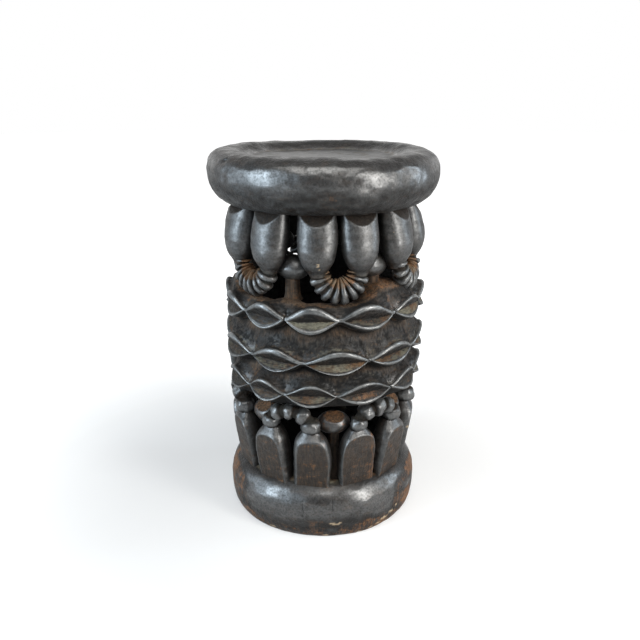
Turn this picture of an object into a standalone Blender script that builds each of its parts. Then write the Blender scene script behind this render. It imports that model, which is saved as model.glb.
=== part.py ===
"""A carved wooden stool in the Cameroon grassfields manner, cut from one hollowed log.

From the floor up it has a heavy foot ring, a ring of paired limbs joined by beaded arches, a drum
of three cowrie bands, a second ring of paired limbs joined by ribbed links, and a dished seat.
Oval knobs on posts stand between the pairs. Each carved member is a solid of its own.

Metres, +Z up, the floor at z = 0 and the front at -Y. A turn share is a share of a full turn
round the stool's axis, counted from the front and growing towards +X.
"""

import math
from collections import namedtuple

import bmesh
import bpy
from mathutils import Vector

# Clearance that is left where two carved members meet
JOINT_GAP = 0.0003

# The log that everything below the seat is cut from; other radii are set in or out from it
LOG_RADIUS = 0.133

# Seat: a thick round cushion of wood with a shallow dish
SEAT_OVERHANG = 0.017
SEAT_THICKNESS = 0.068
SEAT_BELLY_HEIGHT = 0.039
SEAT_UNDERSIDE_INSET = 0.019
SEAT_ROLL_WIDTH = 0.0355
SEAT_DISH_SLOPE_WIDTH = 0.0245
SEAT_DISH_DEPTH = 0.012

# Foot: a heavy rounded ring, open below
FOOT_HEIGHT = 0.076
FOOT_BELLY_HEIGHT = 0.035
FOOT_TOP_INSET = 0.020
FOOT_FLOOR_INSET = 0.010
FOOT_LEDGE_WIDTH = 0.035

# Drum: three bands of cowries round the log's hollow
TOP_BAND_HEIGHT = 0.0465
MIDDLE_BAND_HEIGHT = 0.0485
BOTTOM_BAND_HEIGHT = 0.0445
DRUM_FACE_INSET = 0.016
DRUM_LEDGE_WIDTH = 0.037
VALLEY_INSET = 0.0105
COWRIE_CORNER_INSET = 0.0035
COWRIE_LIP_OVERHANG = 0.0025
COWRIE_SLIT_DEPTH = 0.0095
COWRIE_LIP_THICKNESS = 0.003

# Limbs of both rings: the least gap between neighbours sets how wide they are
LIMB_GAP = 0.006

# Upper ring of limbs, hung from the seat
UPPER_RING_HEIGHT = 0.107
UPPER_LIMB_DEPTH = 0.040
UPPER_LIMB_BOW = 0.0105
UPPER_FACET_INSET = 0.0165
UPPER_FACET_SLOPE = 45.0
UPPER_LINK_DROP = 0.0365
UPPER_LINK_DIAMETER = 0.0215
UPPER_LINK_RIBS = 11
UPPER_KNOB_HEADROOM = 0.053

# Lower ring of limbs, standing on the foot
LOWER_RING_HEIGHT = 0.1095
LOWER_LIMB_DEPTH = 0.036
LOWER_LIMB_BOW = 0.012
LOWER_FACET_INSET = 0.0135
LOWER_FACET_SLOPE = 9.0
LOWER_ARCH_RISE = 0.0385
LOWER_ARCH_DIAMETER = 0.0235
LOWER_ARCH_BEADS = 7
LOWER_KNOB_HEADROOM = 0.0135

# Oval knobs and their posts, which stand behind the limbs
KNOB_LENGTH = 0.040
KNOB_DEPTH = 0.028
KNOB_HEIGHT = 0.027
KNOB_FACET_SLOPE = 52.0
POST_DIAMETER = 0.017

# How finely the round forms are divided
ROUND_SIDES = 48
LIMB_SIDES = 10
LINK_SIDES = 8
KNOB_SIDES = 12
COLUMNS_PER_COWRIE = 6
RIM_STEPS = 5
STEPS_PER_RIB = 2
STEPS_PER_BEAD = 4
KNOB_LATITUDES = (-50, -20, 10, 40, 65)

# Shares that shape a link: its waists beside its ribs, and how much of its tube is cut flat
LINK_WAIST_SHARE = 0.78
LINK_FOOT_SHARE = 0.06

# How far a knob stands back, as a share of the limbs' depth, and where its top facet is cut,
# as a share of the way from its middle to its skin
KNOB_SETBACK_SHARE = 1.0
KNOB_FACET_SHARE = 0.55

# Stations down a limb, from the face that carries it to its neck, as shares:
# (height, width, depth, bow), where bow is how far the outer face has drawn back
UPPER_LIMB_SHARES = (
    (0.00, 0.90, 0.78, 1.00),
    (0.18, 0.98, 0.93, 0.57),
    (0.38, 1.00, 1.00, 0.19),
    (0.58, 0.93, 0.95, 0.00),
    (0.76, 0.78, 0.80, 0.10),
    (0.90, 0.60, 0.63, 0.52),
    (1.00, 0.44, 0.50, 1.00),
)
LOWER_LIMB_SHARES = (
    (0.00, 0.92, 0.80, 1.00),
    (0.25, 0.98, 0.92, 0.60),
    (0.50, 1.00, 1.00, 0.25),
    (0.72, 0.93, 0.95, 0.03),
    (0.86, 0.78, 0.80, 0.08),
    (0.95, 0.60, 0.64, 0.30),
    (1.00, 0.44, 0.50, 0.75),
)

# The two limbs of each pair, as turn shares
UPPER_PAIR_TURN_SHARES = (
    (-0.186, -0.097),
    (-0.010, 0.067),
    (0.151, 0.235),
    (0.312, 0.392),
    (0.472, 0.568),
    (0.652, 0.736),
)
LOWER_PAIR_TURN_SHARES = (
    (-0.265, -0.182),
    (-0.097, -0.021),
    (0.067, 0.143),
    (0.236, 0.318),
    (0.405, 0.482),
    (0.570, 0.647),
)

# The knob that follows each pair, as turn shares
UPPER_KNOB_TURN_SHARES = (-0.066, 0.120, 0.274, 0.430, 0.610, 0.775)
LOWER_KNOB_TURN_SHARES = (-0.140, 0.024, 0.190, 0.361, 0.526, 0.691)

# The corners between neighbouring cowries, as turn shares
TOP_CORNER_TURN_SHARES = (
    -0.138, -0.058, 0.026, 0.121, 0.206, 0.288, 0.370, 0.452, 0.534, 0.616, 0.698, 0.780,
)
MIDDLE_CORNER_TURN_SHARES = (
    -0.124, -0.031, 0.077, 0.177, 0.277, 0.377, 0.476, 0.576, 0.676, 0.776,
)
BOTTOM_CORNER_TURN_SHARES = (
    -0.132, -0.062, 0.023, 0.119, 0.200, 0.283, 0.367, 0.451, 0.534, 0.618, 0.701, 0.784,
)

# How a band's height is shared out: (height of the ridge that the cowries' corners lie on,
# rise of the upper lip towards the top face, drop of the lower lip towards the bottom face)
TOP_BAND_LIP_SHARES = (0.61, 0.84, 0.54)
MIDDLE_BAND_LIP_SHARES = (0.43, 0.54, 0.65)
BOTTOM_BAND_LIP_SHARES = (0.47, 0.66, 0.64)

# Radii that several members share
SEAT_RADIUS = LOG_RADIUS + SEAT_OVERHANG
DRUM_FACE_RADIUS = LOG_RADIUS - DRUM_FACE_INSET
VALLEY_RADIUS = LOG_RADIUS - VALLEY_INSET
HOLLOW_RADIUS = DRUM_FACE_RADIUS - DRUM_LEDGE_WIDTH

# Heights of the faces that the members stand on, from the floor up
FOOT_TOP_Z = FOOT_HEIGHT
DRUM_BOTTOM_Z = FOOT_TOP_Z + LOWER_RING_HEIGHT
MIDDLE_BAND_Z = DRUM_BOTTOM_Z + BOTTOM_BAND_HEIGHT
TOP_BAND_Z = MIDDLE_BAND_Z + MIDDLE_BAND_HEIGHT
DRUM_TOP_Z = TOP_BAND_Z + TOP_BAND_HEIGHT
SEAT_UNDERSIDE_Z = DRUM_TOP_Z + UPPER_RING_HEIGHT
SEAT_TOP_Z = SEAT_UNDERSIDE_Z + SEAT_THICKNESS

# A band of cowries between two level faces, each with the radius of its outer edge
Band = namedtuple("Band", "name floor_z height floor_radius top_radius lip_shares corner_shares")
BANDS = (
    Band("cowrie_band_top", TOP_BAND_Z, TOP_BAND_HEIGHT, VALLEY_RADIUS, DRUM_FACE_RADIUS,
         TOP_BAND_LIP_SHARES, TOP_CORNER_TURN_SHARES),
    Band("cowrie_band_middle", MIDDLE_BAND_Z, MIDDLE_BAND_HEIGHT, VALLEY_RADIUS, VALLEY_RADIUS,
         MIDDLE_BAND_LIP_SHARES, MIDDLE_CORNER_TURN_SHARES),
    Band("cowrie_band_bottom", DRUM_BOTTOM_Z, BOTTOM_BAND_HEIGHT, DRUM_FACE_RADIUS, VALLEY_RADIUS,
         BOTTOM_BAND_LIP_SHARES, BOTTOM_CORNER_TURN_SHARES),
)

# A ring of paired limbs between two faces: carrier_z is the face that the limbs grow from and
# drum_z is the face that their links meet. The posts stand on the lower of the two.
Ring = namedtuple(
    "Ring",
    "name link_word carrier_z drum_z limb_depth bow facet_inset facet_slope"
    " link_height link_diameter link_ribs rib_steps knob_headroom"
    " limb_shares pair_shares knob_shares",
)
UPPER_RING = Ring(
    "upper", "link", SEAT_UNDERSIDE_Z, DRUM_TOP_Z,
    UPPER_LIMB_DEPTH, UPPER_LIMB_BOW, UPPER_FACET_INSET, UPPER_FACET_SLOPE,
    UPPER_LINK_DROP, UPPER_LINK_DIAMETER, UPPER_LINK_RIBS, STEPS_PER_RIB,
    UPPER_KNOB_HEADROOM, UPPER_LIMB_SHARES, UPPER_PAIR_TURN_SHARES, UPPER_KNOB_TURN_SHARES,
)
LOWER_RING = Ring(
    "lower", "arch", FOOT_TOP_Z, DRUM_BOTTOM_Z,
    LOWER_LIMB_DEPTH, LOWER_LIMB_BOW, LOWER_FACET_INSET, LOWER_FACET_SLOPE,
    LOWER_ARCH_RISE, LOWER_ARCH_DIAMETER, LOWER_ARCH_BEADS, STEPS_PER_BEAD,
    LOWER_KNOB_HEADROOM, LOWER_LIMB_SHARES, LOWER_PAIR_TURN_SHARES, LOWER_KNOB_TURN_SHARES,
)

# Finishes: (colour, roughness), all of them blackened and waxed wood
FINISHES = {
    "seat_wood": ((0.050, 0.048, 0.046, 1.0), 0.38),
    "foot_wood": ((0.055, 0.046, 0.040, 1.0), 0.40),
    "band_wood": ((0.060, 0.052, 0.044, 1.0), 0.45),
    "limb_wood": ((0.052, 0.049, 0.047, 1.0), 0.38),
    "link_wood": ((0.055, 0.047, 0.041, 1.0), 0.42),
    "knob_wood": ((0.050, 0.044, 0.039, 1.0), 0.45),
}
SMOOTH_ANGLE = math.radians(40.0)


def clear_scene():
    """Take out whatever the open file holds."""
    for old in list(bpy.data.objects):
        bpy.data.objects.remove(old)


def finish_material(name):
    """The named wood finish, made once and then shared."""
    found = bpy.data.materials.get(name)
    if found:
        return found
    colour, roughness = FINISHES[name]
    material = bpy.data.materials.new(name)
    material.use_nodes = True
    shader = material.node_tree.nodes["Principled BSDF"]
    shader.inputs["Base Color"].default_value = colour
    shader.inputs["Roughness"].default_value = roughness
    shader.inputs["Metallic"].default_value = 0.0
    return material


def place(name, mesh, finish, turn_share=0.0):
    """Put a mesh into the scene as the named member, turned round the stool's axis."""
    if not mesh.materials:
        mesh.materials.append(finish_material(finish))
    member = bpy.data.objects.new(name, mesh)
    member.rotation_euler.z = turn_share * math.tau
    bpy.context.collection.objects.link(member)


def mesh_from(body, name):
    """Turn finished bmesh geometry into a smooth-shaded mesh whose faces point outwards."""
    bmesh.ops.recalc_face_normals(body, faces=body.faces)
    mesh = bpy.data.meshes.new(name)
    body.to_mesh(mesh)
    body.free()
    mesh.shade_smooth()
    mesh.set_sharp_from_angle(angle=SMOOTH_ANGLE)
    return mesh


def loft(rings, closed=False):
    """Bridge rings of points that have the same count, capping both ends unless it is closed."""
    body = bmesh.new()
    loops = [[body.verts.new(point) for point in ring] for ring in rings]
    pairs = list(zip(loops, loops[1:]))
    if closed:
        pairs.append((loops[-1], loops[0]))
    for first, second in pairs:
        for i in range(len(first)):
            j = (i + 1) % len(first)
            body.faces.new((first[i], first[j], second[j], second[i]))
    if not closed:
        body.faces.new(loops[0])
        body.faces.new(loops[-1])
    return body


def cut_away(body, point, normal):
    """Slice the solid with a plane, drop what lies on the normal's side and close the cut."""
    geometry = list(body.verts) + list(body.edges) + list(body.faces)
    cut = bmesh.ops.bisect_plane(
        body, geom=geometry, plane_co=point, plane_no=normal, clear_outer=True
    )
    rim = [item for item in cut["geom_cut"] if isinstance(item, bmesh.types.BMEdge)]
    if rim:
        bmesh.ops.edgeloop_fill(body, edges=rim)


def at(turn_share, radius, z):
    """The point at a turn share round the axis, a radius from it and a height."""
    angle = turn_share * math.tau
    return Vector((radius * math.sin(angle), -radius * math.cos(angle), z))


def quarter_curve(start, end, steps, flat_at_end):
    """Points of a quarter ellipse between two (radius, z) points, without the first one.

    With flat_at_end the curve leaves start upright and comes in level at end. Otherwise it
    leaves start level and comes in upright.
    """
    points = []
    for i in range(1, steps + 1):
        angle = i / steps * math.pi / 2
        fast, slow = math.sin(angle), 1 - math.cos(angle)
        across, along = (slow, fast) if flat_at_end else (fast, slow)
        points.append((
            start[0] + (end[0] - start[0]) * across,
            start[1] + (end[1] - start[1]) * along,
        ))
    return points


def turned(profile):
    """Turn a closed profile of (radius, z) points round the axis; a radius of zero is a pole."""
    body = bmesh.new()
    columns = []
    poles = {}
    for side in range(ROUND_SIDES):
        column = []
        for index, (radius, z) in enumerate(profile):
            if radius > 0:
                column.append(body.verts.new(at(side / ROUND_SIDES, radius, z)))
            else:
                if index not in poles:
                    poles[index] = body.verts.new(at(0, 0, z))
                column.append(poles[index])
        columns.append(column)
    for side in range(ROUND_SIDES):
        here, there = columns[side], columns[(side + 1) % ROUND_SIDES]
        for i in range(len(profile)):
            j = (i + 1) % len(profile)
            corners = list(dict.fromkeys((here[i], there[i], there[j], here[j])))
            if len(corners) > 2:
                body.faces.new(corners)
    return body


def make_seat():
    """The dished seat: flat underside, full rounded rim and a shallow dish with a flat floor."""
    edge = (LOG_RADIUS - SEAT_UNDERSIDE_INSET, SEAT_UNDERSIDE_Z + JOINT_GAP)
    belly = (SEAT_RADIUS, SEAT_UNDERSIDE_Z + SEAT_BELLY_HEIGHT)
    crest = (SEAT_RADIUS - SEAT_ROLL_WIDTH, SEAT_TOP_Z)
    floor = (crest[0] - SEAT_DISH_SLOPE_WIDTH, SEAT_TOP_Z - SEAT_DISH_DEPTH)
    profile = [(0, edge[1]), edge]
    profile += quarter_curve(edge, belly, RIM_STEPS, flat_at_end=False)
    profile += quarter_curve(belly, crest, RIM_STEPS, flat_at_end=True)
    profile += [((crest[0] + floor[0]) / 2, (crest[1] + floor[1]) / 2), floor, (0, floor[1])]
    place("seat", mesh_from(turned(profile), "seat"), "seat_wood")


def make_foot():
    """The foot ring, bulging widest below its middle, with the log's hollow through it."""
    floor_edge = (LOG_RADIUS - FOOT_FLOOR_INSET, 0)
    belly = (LOG_RADIUS, FOOT_BELLY_HEIGHT)
    top_edge = (LOG_RADIUS - FOOT_TOP_INSET, FOOT_TOP_Z - JOINT_GAP)
    hollow_radius = top_edge[0] - FOOT_LEDGE_WIDTH
    profile = [(hollow_radius, 0), floor_edge]
    profile += quarter_curve(floor_edge, belly, RIM_STEPS - 1, flat_at_end=False)
    profile += quarter_curve(belly, top_edge, RIM_STEPS, flat_at_end=True)
    profile.append((hollow_radius, top_edge[1]))
    place("foot", mesh_from(turned(profile), "foot"), "foot_wood")


def band_profile(band, opening):
    """One column of a band as (radius, z) points. opening is 0 at a corner, 1 at mid cowrie."""
    ridge_share, rise_share, drop_share = band.lip_shares
    floor_z = band.floor_z + JOINT_GAP / 2
    top_z = band.floor_z + band.height - JOINT_GAP / 2
    ridge_z = band.floor_z + band.height * ridge_share
    lip = COWRIE_LIP_THICKNESS
    rise = (top_z - ridge_z) * rise_share * opening
    drop = (ridge_z - floor_z) * drop_share * opening
    upper_z = ridge_z + max(rise, lip / 2)
    lower_z = ridge_z - max(drop, lip / 2)
    proud = (COWRIE_CORNER_INSET + COWRIE_LIP_OVERHANG) * opening
    lip_radius = LOG_RADIUS - COWRIE_CORNER_INSET + proud
    return [
        (HOLLOW_RADIUS, top_z),
        (band.top_radius, top_z),
        ((band.top_radius * 2 + lip_radius) / 3, (top_z + upper_z) / 2),
        (lip_radius, upper_z),
        (lip_radius - lip * opening / 2, upper_z - lip * (1 + opening) / 4),
        (lip_radius - COWRIE_SLIT_DEPTH * opening, (ridge_z + upper_z) / 2),
        (lip_radius - lip * opening, lower_z + lip * (1 + opening) / 4),
        (lip_radius, lower_z),
        ((band.floor_radius * 2 + lip_radius) / 3, (floor_z + lower_z) / 2),
        (band.floor_radius, floor_z),
        (HOLLOW_RADIUS, floor_z),
    ]


def make_band(band):
    """A drum band whose ridge opens into an almond slit at each cowrie."""
    corners = band.corner_shares
    columns = []
    for index, start in enumerate(corners):
        end = corners[(index + 1) % len(corners)] + (1 if index + 1 == len(corners) else 0)
        for step in range(COLUMNS_PER_COWRIE):
            along = step / COLUMNS_PER_COWRIE
            turn_share = start + (end - start) * along
            opening = math.sin(math.pi * along)
            columns.append([at(turn_share, *point) for point in band_profile(band, opening)])
    place(band.name, mesh_from(loft(columns, closed=True), band.name), "band_wood")


def towards_drum(ring):
    """1 where the ring's limbs grow up to the drum, -1 where they hang down to it."""
    return 1 if ring.drum_z > ring.carrier_z else -1


def limb_width(ring):
    """The limbs' full width, which leaves the least gap between the two of the closest pair."""
    closest = min(pair[1] - pair[0] for pair in ring.pair_shares)
    axis_radius = LOG_RADIUS - ring.limb_depth / 2
    spacing = 2 * axis_radius * math.sin(closest / 2 * math.tau)
    return spacing - LIMB_GAP


def limb_station(ring, shares):
    """Centre radius, height, half width and half depth of a limb at one station."""
    height, width, depth, bow = shares
    half_depth = ring.limb_depth * depth / 2
    span = abs(ring.drum_z - ring.carrier_z) - ring.link_height - JOINT_GAP
    z = ring.carrier_z + towards_drum(ring) * (JOINT_GAP + height * span)
    return LOG_RADIUS - ring.bow * bow - half_depth, z, limb_width(ring) * width / 2, half_depth


def limb_mesh(ring):
    """A swelling limb facing the front, with the sloping facet that the knife left on it."""
    rings = []
    for shares in ring.limb_shares:
        radius, z, half_width, half_depth = limb_station(ring, shares)
        rings.append([
            Vector((
                half_width * math.sin(side / LIMB_SIDES * math.tau),
                -radius - half_depth * math.cos(side / LIMB_SIDES * math.tau),
                z,
            ))
            for side in range(LIMB_SIDES)
        ])
    body = loft(rings)
    slope = math.radians(ring.facet_slope)
    cut_away(
        body,
        Vector((0, ring.facet_inset - LOG_RADIUS, ring.carrier_z)),
        Vector((0, -math.cos(slope), -towards_drum(ring) * math.sin(slope))),
    )
    return mesh_from(body, ring.name + "_limb")


def make_limbs(ring):
    """All the limbs of a ring, numbered from the left of the front."""
    mesh = limb_mesh(ring)
    turns = [turn for pair in ring.pair_shares for turn in pair]
    for number, turn in enumerate(turns, 1):
        place(f"{ring.name}_limb_{number:02d}", mesh, "limb_wood", turn)


def make_link(ring, number, pair):
    """The ribbed loop that joins the necks of a pair and meets the drum with a flat foot."""
    radius, neck_z, _, _ = limb_station(ring, ring.limb_shares[-1])
    way = towards_drum(ring)
    tube = ring.link_diameter / 2
    start_z = neck_z + way * JOINT_GAP
    foot_z = ring.drum_z - way * JOINT_GAP
    rise = abs(foot_z - start_z) - tube * (1 - LINK_FOOT_SHARE)
    middle, half = sum(pair) / 2, (pair[1] - pair[0]) / 2
    half_length = half * math.tau * radius
    rings = []
    stations = ring.rib_steps * ring.link_ribs
    for station in range(stations + 1):
        angle = station / stations * math.pi
        turn = middle - half * math.cos(angle)
        centre = at(turn, radius, start_z + way * rise * math.sin(angle))
        outward = at(turn, 1, 0)
        run = at(turn + 1 / 4, half_length * math.sin(angle), way * rise * math.cos(angle))
        across = run.normalized().cross(outward)
        fullness = abs(math.sin(station / ring.rib_steps * math.pi))
        swell = tube * (LINK_WAIST_SHARE + (1 - LINK_WAIST_SHARE) * fullness)
        rings.append([
            centre
            + outward * (swell * math.cos(side / LINK_SIDES * math.tau))
            + across * (swell * math.sin(side / LINK_SIDES * math.tau))
            for side in range(LINK_SIDES)
        ])
    body = loft(rings)
    cut_away(body, Vector((0, 0, foot_z)), Vector((0, 0, way)))
    name = f"{ring.name}_{ring.link_word}_{number}"
    place(name, mesh_from(body, name), "link_wood")


def knob_section(half_length, half_depth, radius, z):
    """An almond outline, pointed at both sides of the knob and full at its front and back."""
    points = []
    for side in range(KNOB_SIDES):
        angle = side / KNOB_SIDES * math.tau
        fullness = math.cos(angle) * abs(math.cos(angle))
        points.append(Vector((half_length * math.sin(angle), -radius - half_depth * fullness, z)))
    return points


def post_section(radius, z):
    """A round outline of the post at the given height."""
    half = POST_DIAMETER / 2
    return [
        Vector((
            half * math.sin(side / KNOB_SIDES * math.tau),
            -radius - half * math.cos(side / KNOB_SIDES * math.tau),
            z,
        ))
        for side in range(KNOB_SIDES)
    ]


def knob_mesh(ring):
    """An oval knob on its post, facing the front, with a sloping facet on top."""
    radius = LOG_RADIUS - ring.limb_depth * KNOB_SETBACK_SHARE
    half_height = KNOB_HEIGHT / 2
    centre_z = max(ring.carrier_z, ring.drum_z) - ring.knob_headroom - half_height
    stand_z = min(ring.carrier_z, ring.drum_z) + JOINT_GAP
    rings = [post_section(radius, stand_z), post_section(radius, centre_z - half_height)]
    for degrees in KNOB_LATITUDES:
        angle = math.radians(degrees)
        rings.append(knob_section(
            KNOB_LENGTH / 2 * math.cos(angle),
            KNOB_DEPTH / 2 * math.cos(angle),
            radius,
            centre_z + half_height * math.sin(angle),
        ))
    body = loft(rings)
    slope = math.radians(KNOB_FACET_SLOPE)
    normal = Vector((0, -math.cos(slope), math.sin(slope)))
    reach = KNOB_DEPTH / 2 * math.cos(slope) + half_height * math.sin(slope)
    cut_away(body, Vector((0, -radius, centre_z)) + normal * reach * KNOB_FACET_SHARE, normal)
    return mesh_from(body, ring.name + "_knob")


def make_knobs(ring):
    """A knob between each pair and the next."""
    mesh = knob_mesh(ring)
    for number, turn in enumerate(ring.knob_shares, 1):
        place(f"{ring.name}_knob_{number}", mesh, "knob_wood", turn)


def main():
    clear_scene()
    make_seat()
    make_foot()
    for band in BANDS:
        make_band(band)
    for ring in (UPPER_RING, LOWER_RING):
        make_limbs(ring)
        for number, pair in enumerate(ring.pair_shares, 1):
            make_link(ring, number, pair)
        make_knobs(ring)


if __name__ == "__main__":
    main()
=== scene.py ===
"""The looks of a carved wooden stool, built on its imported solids.

Every member of the stool is sculpted again with the unevenness, tool marks, wear and dust of the
carved wood, and stands where the solids are. Metres, +Z up, the floor at z = 0 and the front
at -Y. A turn share is a share of a full turn round the stool's axis, counted from the front and
growing towards +X.
"""

import math
from collections import namedtuple
from itertools import product

import bpy
import numpy as np
from bpy.props import FloatProperty, FloatVectorProperty, IntProperty, PointerProperty
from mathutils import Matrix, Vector


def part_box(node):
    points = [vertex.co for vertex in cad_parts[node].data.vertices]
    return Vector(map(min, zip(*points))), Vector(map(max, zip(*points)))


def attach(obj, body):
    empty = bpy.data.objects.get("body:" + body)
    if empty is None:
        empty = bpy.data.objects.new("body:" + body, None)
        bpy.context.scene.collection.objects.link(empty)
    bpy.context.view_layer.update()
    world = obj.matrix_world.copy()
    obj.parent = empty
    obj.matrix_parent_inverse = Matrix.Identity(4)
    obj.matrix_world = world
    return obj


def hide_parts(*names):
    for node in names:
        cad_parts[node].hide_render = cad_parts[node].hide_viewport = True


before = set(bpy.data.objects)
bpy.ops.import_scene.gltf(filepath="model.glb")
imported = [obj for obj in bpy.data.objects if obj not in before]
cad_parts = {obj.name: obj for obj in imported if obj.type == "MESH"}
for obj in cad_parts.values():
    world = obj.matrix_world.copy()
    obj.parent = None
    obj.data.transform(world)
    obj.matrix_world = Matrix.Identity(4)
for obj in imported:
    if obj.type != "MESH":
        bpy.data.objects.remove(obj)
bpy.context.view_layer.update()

bl_info = {
    "name": "Carved Stool",
    "version": (1, 0, 0),
    "blender": (4, 5, 0),
    "location": "3D View > Sidebar > Carved Stool",
    "description": "Sculpts and finishes the members of a carved wooden stool",
    "category": "Object",
}

TURN = math.tau

# Corners between neighbouring cowries, as turn shares, for each band of the drum
CORNER_SHARES = {
    "cowrie_band_top": (
        -0.138, -0.058, 0.026, 0.121, 0.206, 0.288, 0.370, 0.452, 0.534, 0.616, 0.698, 0.780,
    ),
    "cowrie_band_middle": (
        -0.124, -0.031, 0.077, 0.177, 0.289, 0.385, 0.480, 0.576, 0.676, 0.776,
    ),
    "cowrie_band_bottom": (
        -0.132, -0.062, 0.023, 0.119, 0.200, 0.283, 0.367, 0.451, 0.534, 0.618, 0.701, 0.784,
    ),
}

# What sets the bands of cowries apart: the height of their corners, the rise of the upper lips and
# the drop of the lower ones as shares, how much narrower the band is at the left in metres, and
# which share of the drum's swell at the right it has
Band = namedtuple("Band", "ridge rise drop narrow wide")
BANDS = {
    "cowrie_band_top": Band(0.61, 0.84, 0.54, 0.0030, 1.0),
    "cowrie_band_middle": Band(0.43, 0.54, 0.65, 0.0005, 0.8),
    "cowrie_band_bottom": Band(0.47, 0.66, 0.64, 0.0050, 0.2),
}
TOP_BAND, LOW_BAND = "cowrie_band_top", "cowrie_band_bottom"

# How each cowrie was cut, from the first corner on, in millimetres: the roll of its upper rim, the
# bands between the rims and the opening, the roll of its lower rim and the depth of its slit;
# then the height share of the crease inside the opening, and how dusty and how bare the opening is
COWRIE_CUTS = {
    "cowrie_band_top": (
        (3.2, 0.0, 0.0, 2.6, 7.0, 0.48, 0.30, 0.05), (3.3, 0.0, 0.0, 2.6, 7.5, 0.44, 0.85, 0.10),
        (2.4, 4.4, 3.6, 1.4, 7.5, 0.48, 0.40, 0.80), (1.7, 0.4, 3.0, 1.7, 5.5, 0.54, 0.95, 0.00),
        (2.2, 1.0, 0.5, 1.7, 7.0, 0.44, 0.70, 0.30), (2.7, 3.0, 1.5, 1.8, 7.5, 0.42, 0.45, 0.60),
        (2.4, 0.0, 0.0, 2.1, 7.5, 0.46, 0.80, 0.10), (2.2, 1.0, 2.4, 1.7, 6.5, 0.44, 0.60, 0.40),
        (2.8, 0.0, 0.0, 2.1, 8.0, 0.46, 0.75, 0.20), (2.7, 3.4, 2.2, 1.5, 7.0, 0.42, 0.40, 0.70),
        (2.4, 0.6, 0.6, 1.7, 7.5, 0.46, 0.60, 0.15), (2.9, 0.0, 1.4, 2.1, 7.0, 0.48, 0.25, 0.05),
    ),
    "cowrie_band_middle": (
        (3.2, 0.0, 0.0, 1.4, 8.0, 0.44, 0.45, 0.15), (3.0, 0.6, 0.0, 1.5, 8.0, 0.46, 0.85, 0.05),
        (2.0, 3.0, 3.8, 1.5, 7.5, 0.48, 0.55, 0.55), (2.0, 0.6, 0.6, 1.5, 7.5, 0.46, 0.50, 0.30),
        (2.1, 0.6, 1.6, 1.7, 8.0, 0.44, 0.75, 0.10), (2.7, 2.6, 1.0, 1.5, 7.0, 0.42, 0.50, 0.50),
        (2.6, 0.0, 0.0, 1.5, 8.0, 0.46, 0.80, 0.10), (2.1, 0.4, 1.0, 1.8, 8.0, 0.44, 0.60, 0.25),
        (2.2, 2.8, 2.2, 1.7, 7.0, 0.44, 0.40, 0.60), (2.4, 0.0, 0.0, 1.8, 7.5, 0.48, 0.35, 0.20),
    ),
    "cowrie_band_bottom": (
        (1.6, 0.0, 1.0, 1.4, 6.5, 0.46, 0.35, 0.25), (1.7, 0.6, 1.6, 1.4, 7.5, 0.46, 0.45, 0.75),
        (1.6, 2.4, 3.6, 1.4, 7.0, 0.50, 0.25, 1.00), (1.5, 1.0, 2.6, 1.5, 7.0, 0.48, 0.30, 0.60),
        (1.7, 0.6, 0.6, 1.5, 7.5, 0.44, 0.60, 0.40), (1.6, 0.0, 0.0, 1.5, 8.0, 0.46, 0.45, 0.30),
        (1.7, 1.8, 1.6, 1.5, 7.0, 0.42, 0.35, 0.80), (1.6, 0.0, 0.4, 1.5, 7.5, 0.46, 0.60, 0.25),
        (1.6, 0.4, 2.6, 1.5, 7.5, 0.46, 0.40, 0.60), (1.7, 1.0, 1.0, 1.4, 7.0, 0.44, 0.55, 0.35),
        (1.6, 0.0, 1.2, 1.7, 7.5, 0.46, 0.35, 0.70), (1.6, 0.8, 0.6, 1.5, 7.0, 0.46, 0.30, 0.20),
    ),
}

# Mounds on the drum's top: (turn share, half width in turns, height)
DRUM_MOUNDS = (
    (-0.066, 0.026, 0.0045),
    (-0.235, 0.040, 0.0060),
    (0.142, 0.058, 0.0190),
    (0.240, 0.045, 0.0150),
    (0.274, 0.030, 0.0150),
    (0.448, 0.044, 0.0310),
    (0.602, 0.034, 0.0215),
    (0.775, 0.030, 0.0150),
)

# Drying cracks in the drum: (turn share and height of the upper end, then of the lower end)
DRUM_CRACKS = (
    (-0.0595, 0.3150, -0.0590, 0.3010),
    (0.1243, 0.3140, 0.1246, 0.2960),
    (0.0630, 0.2760, 0.0785, 0.2420),
    (0.1085, 0.2250, 0.1210, 0.2030),
    (0.3720, 0.3140, 0.3690, 0.2930),
    (-0.2060, 0.2660, -0.2250, 0.2400),
    (0.6180, 0.2200, 0.6170, 0.1960),
)
FOOT_CRACKS = (
    (-0.0320, 0.0590, -0.0312, 0.0300),
    (0.0158, 0.0640, 0.0166, 0.0400),
    (0.3850, 0.0700, 0.3790, 0.0310),
    (-0.2900, 0.0640, -0.2880, 0.0260),
)

# Pale chips: (turn share, height, half length round the stool, half height, how deep)
FOOT_CHIPS = (
    (0.0640, 0.0022, 0.0080, 0.0022, 0.0010),
    (0.0860, 0.0040, 0.0060, 0.0024, 0.0010),
    (0.1010, 0.0072, 0.0085, 0.0026, 0.0013),
    (0.1150, 0.0118, 0.0105, 0.0034, 0.0015),
    (0.1290, 0.0160, 0.0070, 0.0028, 0.0012),
    (0.1430, 0.0215, 0.0045, 0.0022, 0.0009),
    (0.1200, 0.0035, 0.0090, 0.0026, 0.0012),
    (0.0150, 0.0240, 0.0060, 0.0010, 0.0004),
    (0.0215, 0.0222, 0.0065, 0.0014, 0.0005),
    (0.0290, 0.0248, 0.0050, 0.0008, 0.0004),
    (0.0050, 0.0030, 0.0060, 0.0022, 0.0008),
    (-0.0900, 0.0045, 0.0070, 0.0026, 0.0010),
    (0.3300, 0.0060, 0.0110, 0.0034, 0.0012),
    (-0.3700, 0.0080, 0.0090, 0.0032, 0.0011),
)

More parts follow.
